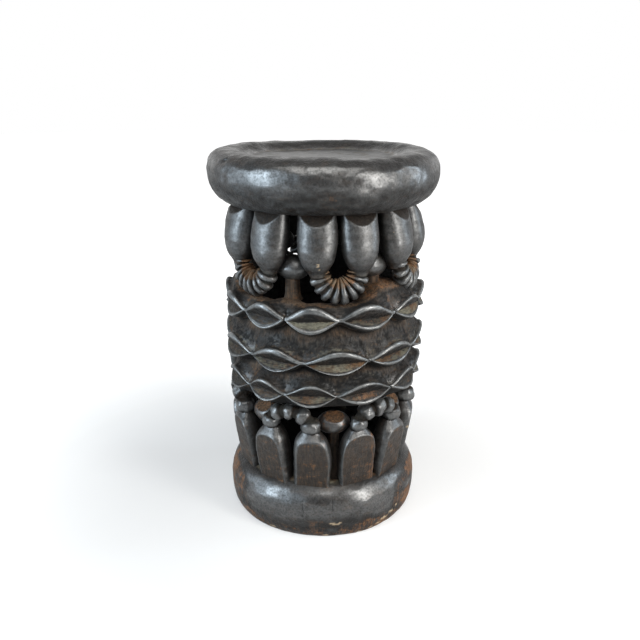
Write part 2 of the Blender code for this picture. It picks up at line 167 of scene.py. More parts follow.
# Reddish-brown patches round the foot: (turn share, height, half length, half height)
FOOT_WORN = (
    (-0.2100, 0.0380, 0.0860, 0.0500),
    (-0.1650, 0.0040, 0.0800, 0.0200),
    (0.2020, 0.0360, 0.0840, 0.0480),
    (0.1250, 0.0020, 0.0700, 0.0190),
    (0.3900, 0.0300, 0.0500, 0.0220),
    (-0.4200, 0.0300, 0.0600, 0.0240),
)

# Small edges and nicks on the seat: (turn share, height, half length, half height, how deep)
SEAT_NICKS = (
    (0.1781, 0.4695, 0.0040, 0.0030, 0.0010),
    (0.1802, 0.4545, 0.0050, 0.0020, 0.0012),
    (0.1500, 0.4440, 0.0080, 0.0016, 0.0012),
    (-0.0300, 0.4560, 0.0060, 0.0014, 0.0009),
    (0.0600, 0.4620, 0.0035, 0.0016, 0.0008),
    (-0.1500, 0.4920, 0.0060, 0.0030, 0.0014),
    (0.3300, 0.4640, 0.0060, 0.0018, 0.0010),
    (-0.3600, 0.4760, 0.0050, 0.0022, 0.0010),
)

# Pale flecks on the limbs: (turn share, height, half length, half height)
LIMB_FLECKS = (
    (-0.0065, 0.3760, 0.0022, 0.0038),
    (-0.0050, 0.3700, 0.0014, 0.0018),
    (0.2050, 0.1180, 0.0018, 0.0026),
    (0.4300, 0.3840, 0.0020, 0.0032),
    (-0.3900, 0.1050, 0.0022, 0.0030),
)

# Stations along a limb, from the face that carries it to past its neck, as shares:
# height, width, depth and how far the outer face has drawn back
UPPER_STATIONS = (
    (-0.06, 0.00, 0.12, 0.27, 0.42, 0.57, 0.70, 0.81, 0.90, 0.97, 1.05),
    (0.97, 0.98, 1.01, 1.05, 1.06, 1.02, 0.95, 0.83, 0.68, 0.52, 0.38),
    (0.78, 0.79, 0.88, 0.96, 1.00, 0.98, 0.92, 0.82, 0.68, 0.54, 0.42),
    (1.00, 0.96, 0.72, 0.40, 0.15, 0.00, 0.05, 0.20, 0.50, 0.85, 1.05),
)
LOWER_STATIONS = (
    (-0.20, 0.00, 0.18, 0.36, 0.54, 0.68, 0.78, 0.87, 0.94, 1.00, 1.07),
    (0.98, 1.00, 1.02, 1.03, 1.03, 1.00, 0.96, 0.89, 0.78, 0.62, 0.44),
    (0.88, 0.90, 0.95, 0.99, 1.00, 0.99, 0.96, 0.90, 0.80, 0.66, 0.50),
    (0.90, 0.84, 0.62, 0.42, 0.24, 0.12, 0.08, 0.14, 0.34, 0.62, 0.90),
)


# Reading the solids

def node_points(node):
    """The corners of one of the stool's solids, as an array."""
    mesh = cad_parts[node].data
    points = np.empty(len(mesh.vertices) * 3)
    mesh.vertices.foreach_get("co", points)
    return points.reshape(-1, 3)


def node_turn(node):
    """The turn share at which a solid stands, from the middle of its corners."""
    middle = node_points(node).mean(axis=0)
    return math.atan2(middle[0], -middle[1]) / TURN


def nodes_named(start):
    """The names of the solids that start with a word, in order."""
    return sorted(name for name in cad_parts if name.startswith(start))


# Unevenness of carved wood

def cell_values(cells, seed):
    """A repeatable number from -1 to 1 for each whole-numbered cell."""
    mixed = cells[..., 0] * 73856093 ^ cells[..., 1] * 19349663 ^ cells[..., 2] * 83492791
    mixed = (mixed ^ (seed * 50331653)) & 0x7FFFFFFF
    mixed = (mixed ^ (mixed >> 13)) * 1274126177 & 0x7FFFFFFF
    mixed = mixed ^ (mixed >> 15)
    return (mixed & 0xFFFF) / 32767.5 - 1


def lumps(points, size, seed):
    """Soft bumps from -1 to 1 through space; size is their spacing, one number or one per axis."""
    places = points / np.asarray(size)
    cells = np.floor(places).astype(np.int64)
    parts = places - cells
    parts = parts ** 3 * (parts * (parts * 6 - 15) + 10)
    total = np.zeros(points.shape[:-1])
    for corner in product((0, 1), repeat=3):
        offset = np.array(corner)
        weights = np.where(offset == 1, parts, 1 - parts).prod(axis=-1)
        total += cell_values(cells + offset, seed) * weights
    return total


def scoops(points, size, seed):
    """Shallow hollows that meet in ridges, as a knife leaves them, from 0 deep to 1 at a ridge."""
    places = points / np.asarray(size)
    cells = np.floor(places).astype(np.int64)
    nearest = np.full(points.shape[:-1], 9.0)
    for step in product((-1, 0, 1), repeat=3):
        near = cells + np.array(step)
        shift = np.stack([cell_values(near, seed + axis) for axis in range(3)], axis=-1)
        reach = ((near + 0.5 + 0.4 * shift - places) ** 2).sum(axis=-1)
        nearest = np.minimum(nearest, reach)
    return np.minimum(nearest, 1.0)


def rise(value, low, high):
    """0 below low, 1 above high, with a soft step between them."""
    share = np.clip((value - low) / (high - low), 0, 1)
    return share * share * (3 - 2 * share)


def bell(away, width):
    """1 in the middle of a soft bump, falling to nearly 0 at twice its width."""
    return np.exp(-(away / width) ** 2)


def on_stool(turns, radii, heights):
    """Points at turn shares, radii from the axis and heights."""
    angles = np.asarray(turns) * TURN
    x, y, z = np.broadcast_arrays(radii * np.sin(angles), -radii * np.cos(angles), heights)
    return np.stack((x, y, z), axis=-1)


def turns_apart(turns, turn):
    """How far turn shares are from one turn share, going the shorter way round."""
    return (turns - turn + 0.5) % 1.0 - 0.5


def oval_mask(turns, heights, radius, spot):
    """1 in the middle of an oval spot on the stool's outside and 0 beyond it."""
    turn, height, half_length, half_height = spot[:4]
    across = turns_apart(turns, turn) * TURN * radius / half_length
    up = (heights - height) / half_height
    return 1 - rise(np.hypot(across, up), 0.35, 1.0)


def crack_mask(turns, heights, radius, crack, width, seed):
    """1 along a wandering crack on the stool's outside and 0 beside it."""
    top_turn, top, low_turn, low = crack
    down = np.clip((top - heights) / (top - low), 0, 1)
    line = top_turn + (low_turn - top_turn) * down
    wander = 0.0005 * np.sin(heights * 420 + seed) + 0.0002 * np.sin(heights * 1700 + seed * 2)
    away = np.abs(turns_apart(turns, line) * TURN * radius + wander)
    inside = rise(heights, low - 0.001, low + 0.002) * (1 - rise(heights, top - 0.002, top + 0.001))
    taper = np.sin(np.pi * np.clip(down, 0.04, 0.96)) ** 0.5
    return (1 - rise(away, width * 0.4 * taper, width * 1.1 * taper + 1e-6)) * inside


# Meshes from rows of points

def grid_slopes(points, closed_along):
    """The steps to the next column and to the next row at each point of a closed grid."""
    around = np.roll(points, -1, axis=0) - np.roll(points, 1, axis=0)
    if closed_along:
        along = np.roll(points, -1, axis=1) - np.roll(points, 1, axis=1)
    else:
        padded = np.concatenate((points[:, :1], points, points[:, -1:]), axis=1)
        along = padded[:, 2:] - padded[:, :-2]
    return around, along


def grid_normals(points, closed_along):
    """Directions that point out of a closed grid of points."""
    around, along = grid_slopes(points, closed_along)
    normals = np.cross(around, along)
    inside = 0 if closed_along else points.mean(axis=(0, 1))
    if (normals * (points - inside)).sum() < 0:
        normals = -normals
    return normals / np.maximum(np.linalg.norm(normals, axis=-1, keepdims=True), 1e-12)


def wear_masks(points, closed_along, reach, depth):
    """Masks for rubbed edges, which also carry a painted highlight, and for dusty hollows, from how a
    grid bulges within a few points.
    """
    around = (np.roll(points, reach, axis=0) + np.roll(points, -reach, axis=0)) / 2
    if closed_along:
        along = (np.roll(points, reach, axis=1) + np.roll(points, -reach, axis=1)) / 2
    else:
        ends = np.repeat(points[:, :1], reach, axis=1), np.repeat(points[:, -1:], reach, axis=1)
        padded = np.concatenate((ends[0], points, ends[1]), axis=1)
        along = (padded[:, 2 * reach:] + padded[:, :-2 * reach]) / 2
    sway = points - (around + along) / 2
    bulge = (sway * grid_normals(points, closed_along)).sum(axis=-1) / depth
    return {"rub": rise(bulge, 0.15, 1.0), "dust": rise(-bulge, 0.10, 1.0)}


Skin = namedtuple("Skin", "points masks closed_along")
# Of these masks, the deep one carries painted shade and soot streaks, and the rubbed-edge one also a
# painted highlight.
MASK_NAMES = ("rub", "dust", "raw", "worn", "crack", "chip", "deep", "polish", "gloss")


def lay(masks, name, amount):
    """Raise a mask to an amount wherever it is lower."""
    masks[name] = np.maximum(masks[name], amount)


def mesh_object(name, skins, finish):
    """One mesh object from skins, with its masks and its material."""
    values, fours, threes = [], [], []
    start = 0
    for skin in skins:
        flat, sides, caps = skin_parts(skin)
        values.append(flat)
        fours.append(sides + start)
        threes.append(caps + start)
        start += len(flat)
    values = np.concatenate(values)
    mesh = bpy.data.meshes.new(name)
    fill_mesh(mesh, values[:, :3], np.concatenate(fours), np.concatenate(threes))
    for number, mask in enumerate(MASK_NAMES, start=3):
        layer = mesh.attributes.new(mask, "FLOAT", "POINT")
        layer.data.foreach_set("value", values[:, number].astype(np.float32))
    mesh.materials.append(wood_finish(finish))
    piece = bpy.data.objects.new(name, mesh)
    bpy.context.scene.collection.objects.link(piece)
    return piece


def skin_parts(skin):
    """A skin's points with their masks beside them, its four-cornered faces and those at its poles."""
    columns, rows = skin.points.shape[:2]
    masks = [np.broadcast_to(skin.masks.get(mask, 0.0), (columns, rows)) for mask in MASK_NAMES]
    values = np.concatenate((skin.points, np.stack(masks, axis=-1)), axis=-1)
    flat = values.reshape(columns * rows, -1)
    index = np.arange(columns * rows).reshape(columns, rows)
    beside = np.roll(index, -1, axis=0)
    threes = np.empty((0, 3), dtype=int)
    if skin.closed_along:
        corners = (index, beside, np.roll(beside, -1, axis=1), np.roll(index, -1, axis=1))
    else:
        corners = (index[:, :-1], beside[:, :-1], beside[:, 1:], index[:, 1:])
        first_pole, last_pole = (np.full(columns, columns * rows + number) for number in (0, 1))
        threes = np.concatenate((
            np.stack((beside[:, 0], index[:, 0], first_pole), axis=-1),
            np.stack((index[:, -1], beside[:, -1], last_pole), axis=-1),
        ))
        flat = np.concatenate((flat, values[:, [0, -1]].mean(axis=0)))
    fours = np.stack([corner.ravel() for corner in corners], axis=-1)
    if fan_volume(flat, fours) + fan_volume(flat, threes) < 0:
        fours, threes = fours[:, ::-1], threes[:, ::-1]
    return flat, fours, threes


def fan_volume(values, faces):
    """Six times the volume between faces and the origin, below 0 where they face inwards."""
    total = 0
    for corner in range(1, faces.shape[1] - 1):
        a, b, c = (values[faces[:, number], :3] for number in (0, corner, corner + 1))
        total += (a * np.cross(b, c)).sum()
    return total


def fill_mesh(mesh, points, fours, threes):
    """Put points and faces with four and with three corners into a mesh."""
    counts = np.concatenate((np.full(len(fours), 4), np.full(len(threes), 3)))
    corners = np.concatenate((fours.ravel(), threes.ravel()))
    mesh.vertices.add(len(points))
    mesh.vertices.foreach_set("co", points.astype(np.float32).ravel())
    mesh.loops.add(len(corners))
    mesh.loops.foreach_set("vertex_index", corners.astype(np.int32))
    mesh.polygons.add(len(counts))
    starts = np.concatenate(([0], np.cumsum(counts)[:-1])).astype(np.int32)
    mesh.polygons.foreach_set("loop_start", starts)
    mesh.update(calc_edges=True)
    mesh.validate()
    mesh.shade_smooth()


def soft_rows(controls, rows_per_span):
    """A closed soft line near control points, with its own number of rows between each two.

    controls is (columns, points, 2) and the result is (columns, rows, 2).
    """
    before = np.roll(controls, 1, axis=1)
    after = np.roll(controls, -1, axis=1)
    beyond = np.roll(controls, -2, axis=1)
    spans = []
    for number, rows in enumerate(rows_per_span):
        share = (np.arange(rows) / rows)[None, :, None]
        weights = (
            (1 - share) ** 3 / 6,
            (3 * share ** 3 - 6 * share ** 2 + 4) / 6,
            (-3 * share ** 3 + 3 * share ** 2 + 3 * share + 1) / 6,
            share ** 3 / 6,
        )
        lines = (line[:, number, None] for line in (before, controls, after, beyond))
        spans.append(sum(weight * line for weight, line in zip(weights, lines)))
    return np.concatenate(spans, axis=1)


def quarter_rows(start, end, rows, flat_at_end, power=2.0):
    """Rows of a rounded quarter between two (radius, z) points, without the first one."""
    angles = np.arange(1, rows + 1) / rows * math.pi / 2
    angles[-1] = math.pi / 2
    fast = np.sin(angles) ** (2 / power)
    slow = 1 - np.maximum(np.cos(angles), 0) ** (2 / power)
    across, along = (slow, fast) if flat_at_end else (fast, slow)
    return np.stack((
        start[0] + (end[0] - start[0]) * across,
        start[1] + (end[1] - start[1]) * along,
    ), axis=-1)


def straight_rows(start, end, rows):
    """Rows on a straight line between two (radius, z) points, without the first one."""
    shares = (np.arange(1, rows + 1) / rows)[:, None]
    return np.asarray(start) + (np.asarray(end) - np.asarray(start)) * shares


def stand_in(piece, slot, *nodes):
    """Let a finished piece ride on the stool and stand for the solids that it was sculpted from."""
    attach(piece, "root")
    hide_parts(*nodes)


# Settings

def length(name, description, default, least=0.0, most=1.0):
    """A length setting in metres."""
    return FloatProperty(
        name=name, description=description, default=default, min=least, max=most,
        unit="LENGTH", precision=4, step=0.01,
    )


def colour(name, description, default):
    """A colour setting."""
    return FloatVectorProperty(
        name=name, description=description, default=default, subtype="COLOR", min=0.0, max=1.0,
    )


def slope_of(name, description, degrees):
    """An angle setting, given in degrees."""
    return FloatProperty(
        name=name, description=description, default=math.radians(degrees), subtype="ANGLE",
    )


def power_of(name, description, default):
    """A lamp's power in watts."""
    return FloatProperty(name=name, description=description, default=default, unit="POWER")


class WoodSettings(bpy.types.PropertyGroup):
    """Colours of the blackened wood and of what time left on it."""

    black: colour("Black", "The blackened and waxed surface", (0.0058, 0.0050, 0.0045))
    brown: colour("Brown", "Wood that shows through thin black", (0.0300, 0.0190, 0.0120))
    # The rubbed colour is partly real wear and partly a painted highlight on rims, crowns and edges.
    rubbed: colour("Rubbed", "Edges that hands rubbed paler", (0.1250, 0.1300, 0.1290))
    dust: colour("Dust", "Dry grey dust in the hollows", (0.1350, 0.1240, 0.0900))
    earth: colour("Earth", "Brown earth in the hollows", (0.1150, 0.0600, 0.0270))
    raw: colour("Raw cut", "Rough cut faces that were never smoothed", (0.0950, 0.0580, 0.0330))
    worn: colour("Worn", "Bare reddish wood where the black is gone", (0.2100, 0.0960, 0.0400))
    chip: colour("Chip", "Fresh pale wood inside a chip", (0.4300, 0.3300, 0.2200))
    # The depth colour paints shade: in the log's hollow, in undercuts and seams, on backs that face
    # away and on the upper limbs' top facets; on the drum it also gives real black streaks and
    # patches.
    depth: colour("Depth", "Sooty wood inside the log", (0.0026, 0.0020, 0.0015))
    crack: colour("Crack", "The dark of a drying crack", (0.0020, 0.0016, 0.0012))


class SeatSettings(bpy.types.PropertyGroup):
    """Sizes of the dished seat."""

    underside_radius: length("Underside radius", "Edge of the flat underside", 0.114)
    belly_height: length("Belly height", "Widest place above the underside", 0.039)
    crest_radius: length("Crest radius", "Top of the rim", 0.1145)
    floor_radius: length("Dish floor radius", "Flat floor of the dish", 0.090)
    dish_depth: length("Dish depth", "Floor of the dish below the rim", 0.012)
    unevenness: length("Unevenness", "Depth of the broad hollows that carving left", 0.0014)


class FootSettings(bpy.types.PropertyGroup):
    """Sizes of the foot ring."""

    floor_radius: length("Floor radius", "Edge that stands on the floor", 0.123)
    belly_height: length("Belly height", "Widest place above the floor", 0.041)
    top_radius: length("Top radius", "Outer edge of the top face", 0.105)
    hollow_radius: length("Hollow radius", "Hole through the ring", 0.078)
    unevenness: length("Unevenness", "Depth of the broad hollows that carving left", 0.0008)


class DrumSettings(bpy.types.PropertyGroup):
    """Sizes of the three bands of cowries."""

    lip_radius: length("Lip radius", "The lips at the middle of a cowrie", 0.1355)
    corner_radius: length("Corner radius", "The ridge between two cowries", 0.1297)
    valley_radius: length("Valley radius", "The grooves between the bands", 0.1180)
    hollow_radius: length("Hollow radius", "The log's hollow inside the drum", 0.082)
    undercut: length("Undercut", "Groove below the lower lips", 0.0058)
    unevenness: length("Unevenness", "Depth of the broad hollows that carving left", 0.0007)


class LimbSettings(bpy.types.PropertyGroup):
    """Shapes of the limbs of both rings."""

    upper_facet_slope: slope_of("Upper facet slope", "Knife cut at an upper limb's top", 44)
    upper_facet_inset: length("Upper facet inset", "Facet behind the log's face", 0.0165)
    lower_facet_slope: slope_of("Lower facet slope", "Flattened front of a lower limb", 9.5)
    lower_facet_inset: length("Lower facet inset", "Flat front behind the log's face", 0.0166)
    unevenness: length("Unevenness", "How far a limb strays from its even shape", 0.0011)


class LinkSettings(bpy.types.PropertyGroup):
    """Sizes of the ribbed links and beaded arches."""

    link_ribs: IntProperty(name="Link ribs", description="Ribs on an upper link", default=10, min=3)
    link_radius: length("Link radius", "Largest rib of an upper link", 0.0122)
    arch_beads: IntProperty(name="Arch beads", description="Beads on an arch", default=5, min=3)
    arch_radius: length("Arch radius", "Largest bead of a lower arch", 0.0130)
    lump_depth: length("Lump depth", "Unevenness of the ribs and beads", 0.0024)


class KnobSettings(bpy.types.PropertyGroup):
    """Sizes of the oval knobs and their posts."""

    facet_slope: slope_of("Facet slope", "Cut on top of a knob", 52)
    post_width: length("Post width", "Width of the posts", 0.017)
    unevenness: length("Unevenness", "How far a knob strays from its even shape", 0.0008)


class StageSettings(bpy.types.PropertyGroup):
    """Camera, lamps and floor."""

    camera_distance: length("Camera distance", "From the stool's axis", 0.972, 0.1, 5.0)
    camera_height: length("Camera height", "Above the floor", 0.595, 0.0, 3.0)
    camera_tilt: slope_of("Camera tilt", "How far the camera looks down", 18.76)
    lens: FloatProperty(name="Lens", description="Focal length in millimetres", default=41.546)
    left_lamp: power_of("Left lamp", "Window at the left", 30.0)
    wall_lamps: power_of("Wall lamps", "Wide dim light at both sides", 32.0)
    right_lamp: power_of("Right lamp", "Window at the right", 34.0)
    side_lamp: power_of("Side lamp", "Narrow window at the far right", 11.0)
    top_lamp: power_of("Top lamp", "Soft boxes overhead", 15.0)
    back_lamp: power_of("Back lamp", "Weak window behind", 5.0)
    cool: colour("Cool tint", "Daylight of the lamps at the left", (0.74, 0.88, 1.0))
    plain: colour("Plain tint", "Light of the other lamps", (1.0, 0.99, 0.96))
    fill: FloatProperty(name="Fill", description="Strength of the even light", default=0.12, min=0.0)


class StoolSettings(bpy.types.PropertyGroup):
    """All settings of the stool."""

    wood: PointerProperty(type=WoodSettings)
    seat: PointerProperty(type=SeatSettings)
    foot: PointerProperty(type=FootSettings)
    drum: PointerProperty(type=DrumSettings)
    limbs: PointerProperty(type=LimbSettings)
    links: PointerProperty(type=LinkSettings)
    knobs: PointerProperty(type=KnobSettings)
    stage: PointerProperty(type=StageSettings)


def settings():
    """The stool's settings in this scene."""
    return bpy.context.scene.carved_stool


# Materials

class Bench:
    """Short ways to add and join nodes in one tree."""

    def __init__(self, tree):
        self.tree = tree

    def out(self, kind, inputs=None, **options):
        """What a new node puts out first."""
        return self.add(kind, inputs, **options).outputs[0]

    def add(self, kind, inputs=None, **options):
        """A node with its options set and its inputs filled or joined."""
        node = self.tree.nodes.new(kind)
        for option, value in options.items():
            setattr(node, option, value)
        for key, value in (inputs or {}).items():
            self.feed(value, node.inputs[key])
        return node

    def feed(self, value, socket):
        """Join a socket to an input, or write a plain value into it."""
        if isinstance(value, bpy.types.NodeSocket):
            self.tree.links.new(value, socket)
        else:
            socket.default_value = value

    def sum(self, operation, first, second=0.0, third=0.0):
        """One step of arithmetic."""
        return self.out("ShaderNodeMath", {0: first, 1: second, 2: third}, operation=operation)

    def times(self, first, *others):
        """The product of values."""
        for other in others:
            first = self.sum("MULTIPLY", first, other)
        return first

    def plus(self, first, second, share=None):
        """The first value and the second, or a share of the second."""
        if share is None:
            return self.sum("ADD", first, second)
        return self.sum("MULTIPLY_ADD", second, share, first)

    def less(self, first, second):
        """The first value less the second."""
        return self.sum("SUBTRACT", first, second)

    def most(self, first, *others):
        """The largest of some values."""
        for other in others:
            first = self.sum("MAXIMUM", first, other)
        return first

    def step(self, value, low, high, out_low=0.0, out_high=1.0):
        """A soft step from out_low to out_high while the value goes from low to high."""
        return self.out(
            "ShaderNodeMapRange",
            {"Value": value, "From Min": low, "From Max": high, "To Min": out_low, "To Max": out_high},
            interpolation_type="SMOOTHSTEP",
        )

    def stretched(self, vector, sizes):
        """Coordinates in which a pattern has the given size along each axis."""
        scales = self.out("ShaderNodeCombineXYZ", {
            axis: self.sum("DIVIDE", 1.0, size) for axis, size in zip("XYZ", sizes)
        })
        return self.vector("MULTIPLY", vector, scales)[0]

    def vector(self, operation, first, second):
        """What one step of vector arithmetic puts out."""
        return self.add("ShaderNodeVectorMath", {0: first, 1: second}, operation=operation).outputs

    def store(self, geometry, name, value):
        """A mesh with a number written on its points."""
        return self.out(
            "GeometryNodeStoreNamedAttribute", {"Geometry": geometry, "Name": name, "Value": value},
            data_type="FLOAT", domain="POINT",
        )

    def noise(self, vector, detail=3.0, roughness=0.55, scale=1.0):
        """Cloudy noise from 0 to 1."""
        return self.out("ShaderNodeTexNoise", {
            "Vector": vector, "Scale": scale, "Detail": detail, "Roughness": roughness,
        })

    def mask(self, name):
        """One of the masks that the sculpting painted on the mesh."""
        return self.add("ShaderNodeAttribute", attribute_name=name).outputs["Fac"]

    def tint(self, share, first, second):
        """A mix of two colours."""
        colours = [
            value if isinstance(value, bpy.types.NodeSocket) else (*value, 1.0)
            for value in (first, second)
        ]
        node = self.add("ShaderNodeMix", {0: share, 6: colours[0], 7: colours[1]}, data_type="RGBA")
        return node.outputs[2]

    def level(self, share, first, second):
        """A mix of two numbers."""
        return self.out("ShaderNodeMix", {0: share, 2: first, 3: second}, data_type="FLOAT")


def grain_effect(bench, enter):
    """Upright streaks of the wood's grain."""
    width, run = enter["Streak width"], enter["Streak length"]
    broad = bench.noise(bench.stretched(enter["Vector"], (width, width, run)), 3.0, 0.6)
    thin_width = bench.times(width, 0.40)
    fine = bench.noise(bench.stretched(enter["Vector"], (thin_width, thin_width, run)), 2.0, 0.5)
    both = bench.plus(bench.times(broad, 0.5), fine, 0.5)
    return {"Streaks": bench.step(both, 0.38, 0.62), "Height": bench.less(both, 0.5)}


def marks_effect(bench, enter):
    """Fine level marks that scraping and rubbing left."""
    tall, run = enter["Mark height"], enter["Mark length"]
    lines = bench.noise(bench.stretched(enter["Vector"], (run, run, tall)), 1.5, 0.5)
    patches = bench.noise(enter["Vector"], 2.0, 0.5, 55.0)
    where = bench.step(patches, 0.36, 0.62, 0.25, 1.0)
    return {"Height": bench.times(bench.less(lines, 0.5), where)}


def wax_effect(bench, enter):
    """Patches where wax and handling left the surface glossier or duller."""
    size = enter["Patch size"]
    low = bench.times(size, 0.42)
    patches = bench.noise(bench.stretched(enter["Vector"], (size, size, low)), 6.0, 0.66)
    elsewhere = bench.vector("ADD", enter["Vector"], (3.1, 1.7, 5.3))[0]
    thin = bench.noise(bench.stretched(elsewhere, (size, size, low)), 7.0, 0.70)
    grit = bench.noise(enter["Vector"], 2.0, 0.5, 420.0)
    swell = bench.noise(enter["Vector"], 3.0, 0.55, 210.0)
    return {
        "Dull": bench.step(patches, 0.38, 0.64), "Thin": bench.step(thin, 0.50, 0.68),
        "Height": bench.less(bench.plus(grit, swell, 6.0), 3.5),
    }


def dust_effect(bench, enter):
    """Dry dust that lies in hollows and on rough faces."""
    clouds = bench.noise(enter["Vector"], 5.0, 0.72, 120.0)
    streaks = bench.noise(bench.stretched(enter["Vector"], (0.012, 0.012, 0.0012)), 3.0, 0.65)
    broken = bench.plus(bench.times(clouds, 0.55), streaks, 0.45)
    hollow = bench.mask("dust")
    total = bench.plus(bench.times(hollow, enter["Amount"]), bench.times(broken, 1.1))
    where = bench.times(bench.step(total, 0.62, 1.20), bench.step(hollow, 0.02, 0.35))
    soil = bench.noise(enter["Vector"], 3.0, 0.6, 34.0)
    grit = bench.noise(enter["Vector"], 2.0, 0.7, 1100.0)
    return {
        "Dust": where, "Earthy": bench.step(soil, 0.42, 0.62),
        "Height": bench.times(bench.less(grit, 0.5), where),
    }


def rub_and_highlight_effect(bench, enter):
    """Edges that were rubbed paler and smoother, and painted with a highlight."""
    broken = bench.step(bench.noise(enter["Vector"], 4.0, 0.7, 160.0), 0.34, 0.60, 0.45, 1.0)
    return {"Rub": bench.times(bench.mask("rub"), enter["Amount"], broken)}


def nick_effect(bench, enter):
    """Small pits and nicks scattered over the surface."""
    size = enter["Spacing"]
    flat = bench.times(size, 0.6)
    spots = bench.add("ShaderNodeTexVoronoi", {
        "Vector": bench.stretched(enter["Vector"], (size, size, flat)), "Scale": 1.0,
    })
    chosen = bench.add("ShaderNodeSeparateColor", {0: spots.outputs["Color"]})
    wide = bench.times(chosen.outputs[0], enter["Pit size"])
    ragged = bench.times(bench.noise(enter["Vector"], 2.0, 0.6, 700.0), 0.08)
    reach = bench.plus(spots.outputs["Distance"], ragged)
    pit = bench.less(1.0, bench.step(reach, bench.times(wide, 0.5), bench.plus(wide, 0.05)))
    pale = bench.times(pit, bench.step(chosen.outputs[1], 0.86, 0.90))
    return {"Pale": pale, "Height": bench.times(pit, -1.0)}


# Each effect of the finishes, with the number inputs of its node group
EFFECTS = {
    "Upright grain": (grain_effect, ("Streak width", "Streak length")),
    "Scraper marks": (marks_effect, ("Mark height", "Mark length")),
    "Wax patches": (wax_effect, ("Patch size",)),
    "Dust in hollows": (dust_effect, ("Amount",)),
    "Rubbed edges": (rub_and_highlight_effect, ("Amount",)),
    "Nicks and pits": (nick_effect, ("Spacing", "Pit size")),
}


def effect_group(name):
    """The node group of an effect, made once and then shared by the finishes."""
    found = bpy.data.node_groups.get(name)
    if found:
        return found
    effect, inputs = EFFECTS[name]
    group = bpy.data.node_groups.new(name, "ShaderNodeTree")
    group.interface.new_socket("Vector", in_out="INPUT", socket_type="NodeSocketVector")
    for label in inputs:
        group.interface.new_socket(label, in_out="INPUT", socket_type="NodeSocketFloat")
    bench = Bench(group)
    outputs = effect(bench, bench.add("NodeGroupInput").outputs)
    for label in outputs:
        group.interface.new_socket(label, in_out="OUTPUT", socket_type="NodeSocketFloat")
    leave = bench.add("NodeGroupOutput").inputs
    for label, value in outputs.items():
        bench.feed(value, leave[label])
    return group


# Each finish: the effects' amounts and the depths of its relief in metres
Finish = namedtuple(
    "Finish", "gloss dull coat_dull brown_show dust_amount rub_amount grain_depth mark_depth pit_depth"
)
FINISHES = {
    "seat_wood": Finish(0.36, 0.50, 0.28, 0.45, 0.45, 0.25, 0.00010, 0.00022, 0.00060),
    "foot_wood": Finish(0.36, 0.50, 0.28, 0.85, 0.60, 0.25, 0.00012, 0.00020, 0.00055),
    "band_wood": Finish(0.42, 0.62, 0.27, 0.45, 0.95, 0.90, 0.00045, 0.00070, 0.00050),
    "limb_wood": Finish(0.36, 0.50, 0.37, 0.50, 0.60, 0.30, 0.00012, 0.00030, 0.00040),
    "link_wood": Finish(0.38, 0.56, 0.28, 0.85, 0.95, 0.42, 0.00014, 0.00024, 0.00030),
    "knob_wood": Finish(0.40, 0.58, 0.33, 0.85, 0.80, 0.25, 0.00014, 0.00026, 0.00030),
}
Effects = namedtuple("Effects", "grain marks wax dust rub nicks")


def place_effect(bench, name, vector, **values):
    """Put a shared effect into a material's tree, with its own values."""
    node = bench.add("ShaderNodeGroup", node_tree=effect_group(name))
    bench.feed(vector, node.inputs["Vector"])
    for key, value in values.items():
        node.inputs[key.replace("_", " ").capitalize()].default_value = value
    return node.outputs


def wood_finish(name):
    """The material of one finish, made once and then shared."""
    found = bpy.data.materials.get(name)
    if found and found.get("carved"):
        return found
    look = FINISHES[name]
    material = found or bpy.data.materials.new(name)
    material["carved"] = True
    material.use_nodes = True
    material.node_tree.nodes.clear()
    bench = Bench(material.node_tree)
    where = bench.add("ShaderNodeTexCoord").outputs["Object"]
    masks = {mask: bench.mask(mask) for mask in MASK_NAMES if mask not in ("rub", "dust")}
    effects = Effects(
        place_effect(bench, "Upright grain", where, streak_width=0.0042, streak_length=0.055),
        place_effect(bench, "Scraper marks", where, mark_height=0.0021, mark_length=0.016),
        place_effect(bench, "Wax patches", where, patch_size=0.018),
        place_effect(bench, "Dust in hollows", where, amount=look.dust_amount),
        place_effect(bench, "Rubbed edges", where, amount=look.rub_amount),
        place_effect(bench, "Nicks and pits", where, spacing=0.011, pit_size=0.10),
    )
    pale = bench.most(masks["chip"], bench.times(effects.nicks["Pale"], 0.8))
    bare = bare_wood(bench, effects, masks)
    rough = bench.most(effects.dust["Dust"], bench.most(masks["raw"], pale))
    # The deep mask holds painted shade and soot streaks; with the cracks these places are made rough
    # and dull.
    painted_shade_and_soot = bench.most(masks["deep"], masks["crack"])
    bump = bench.add("ShaderNodeBump", {
        "Strength": 1.0, "Distance": 1.0, "Height": wood_relief(bench, look, where, effects, masks),
    })
    shader = bench.add("ShaderNodeBsdfPrincipled", {
        "Base Color": wood_colour(bench, look, effects, masks, pale, bare),
        "Roughness": wood_roughness(bench, look, effects, masks, rough, bare, painted_shade_and_soot),
        "Normal": bump.outputs[0], "Metallic": 0.0, "IOR": 1.5, "Specular IOR Level": 0.30,
        "Coat Weight": wax_coat(bench, where, effects, masks, bench.most(rough, painted_shade_and_soot), bare),
        "Coat Roughness": look.coat_dull, "Coat IOR": 2.0,
    })
    out = bench.add("ShaderNodeOutputMaterial", {"Surface": shader.outputs[0]})
    out.is_active_output = True
    return material


def bare_wood(bench, effects, masks):
    """How far the black is worn off, broken up by the grain and the wax."""
    uneven = bench.plus(masks["worn"], bench.less(effects.grain["Streaks"], 0.5), 0.35)
    uneven = bench.plus(uneven, bench.less(effects.wax["Thin"], 0.5), 0.4)
    return bench.times(bench.step(uneven, 0.25, 0.95), 0.85)


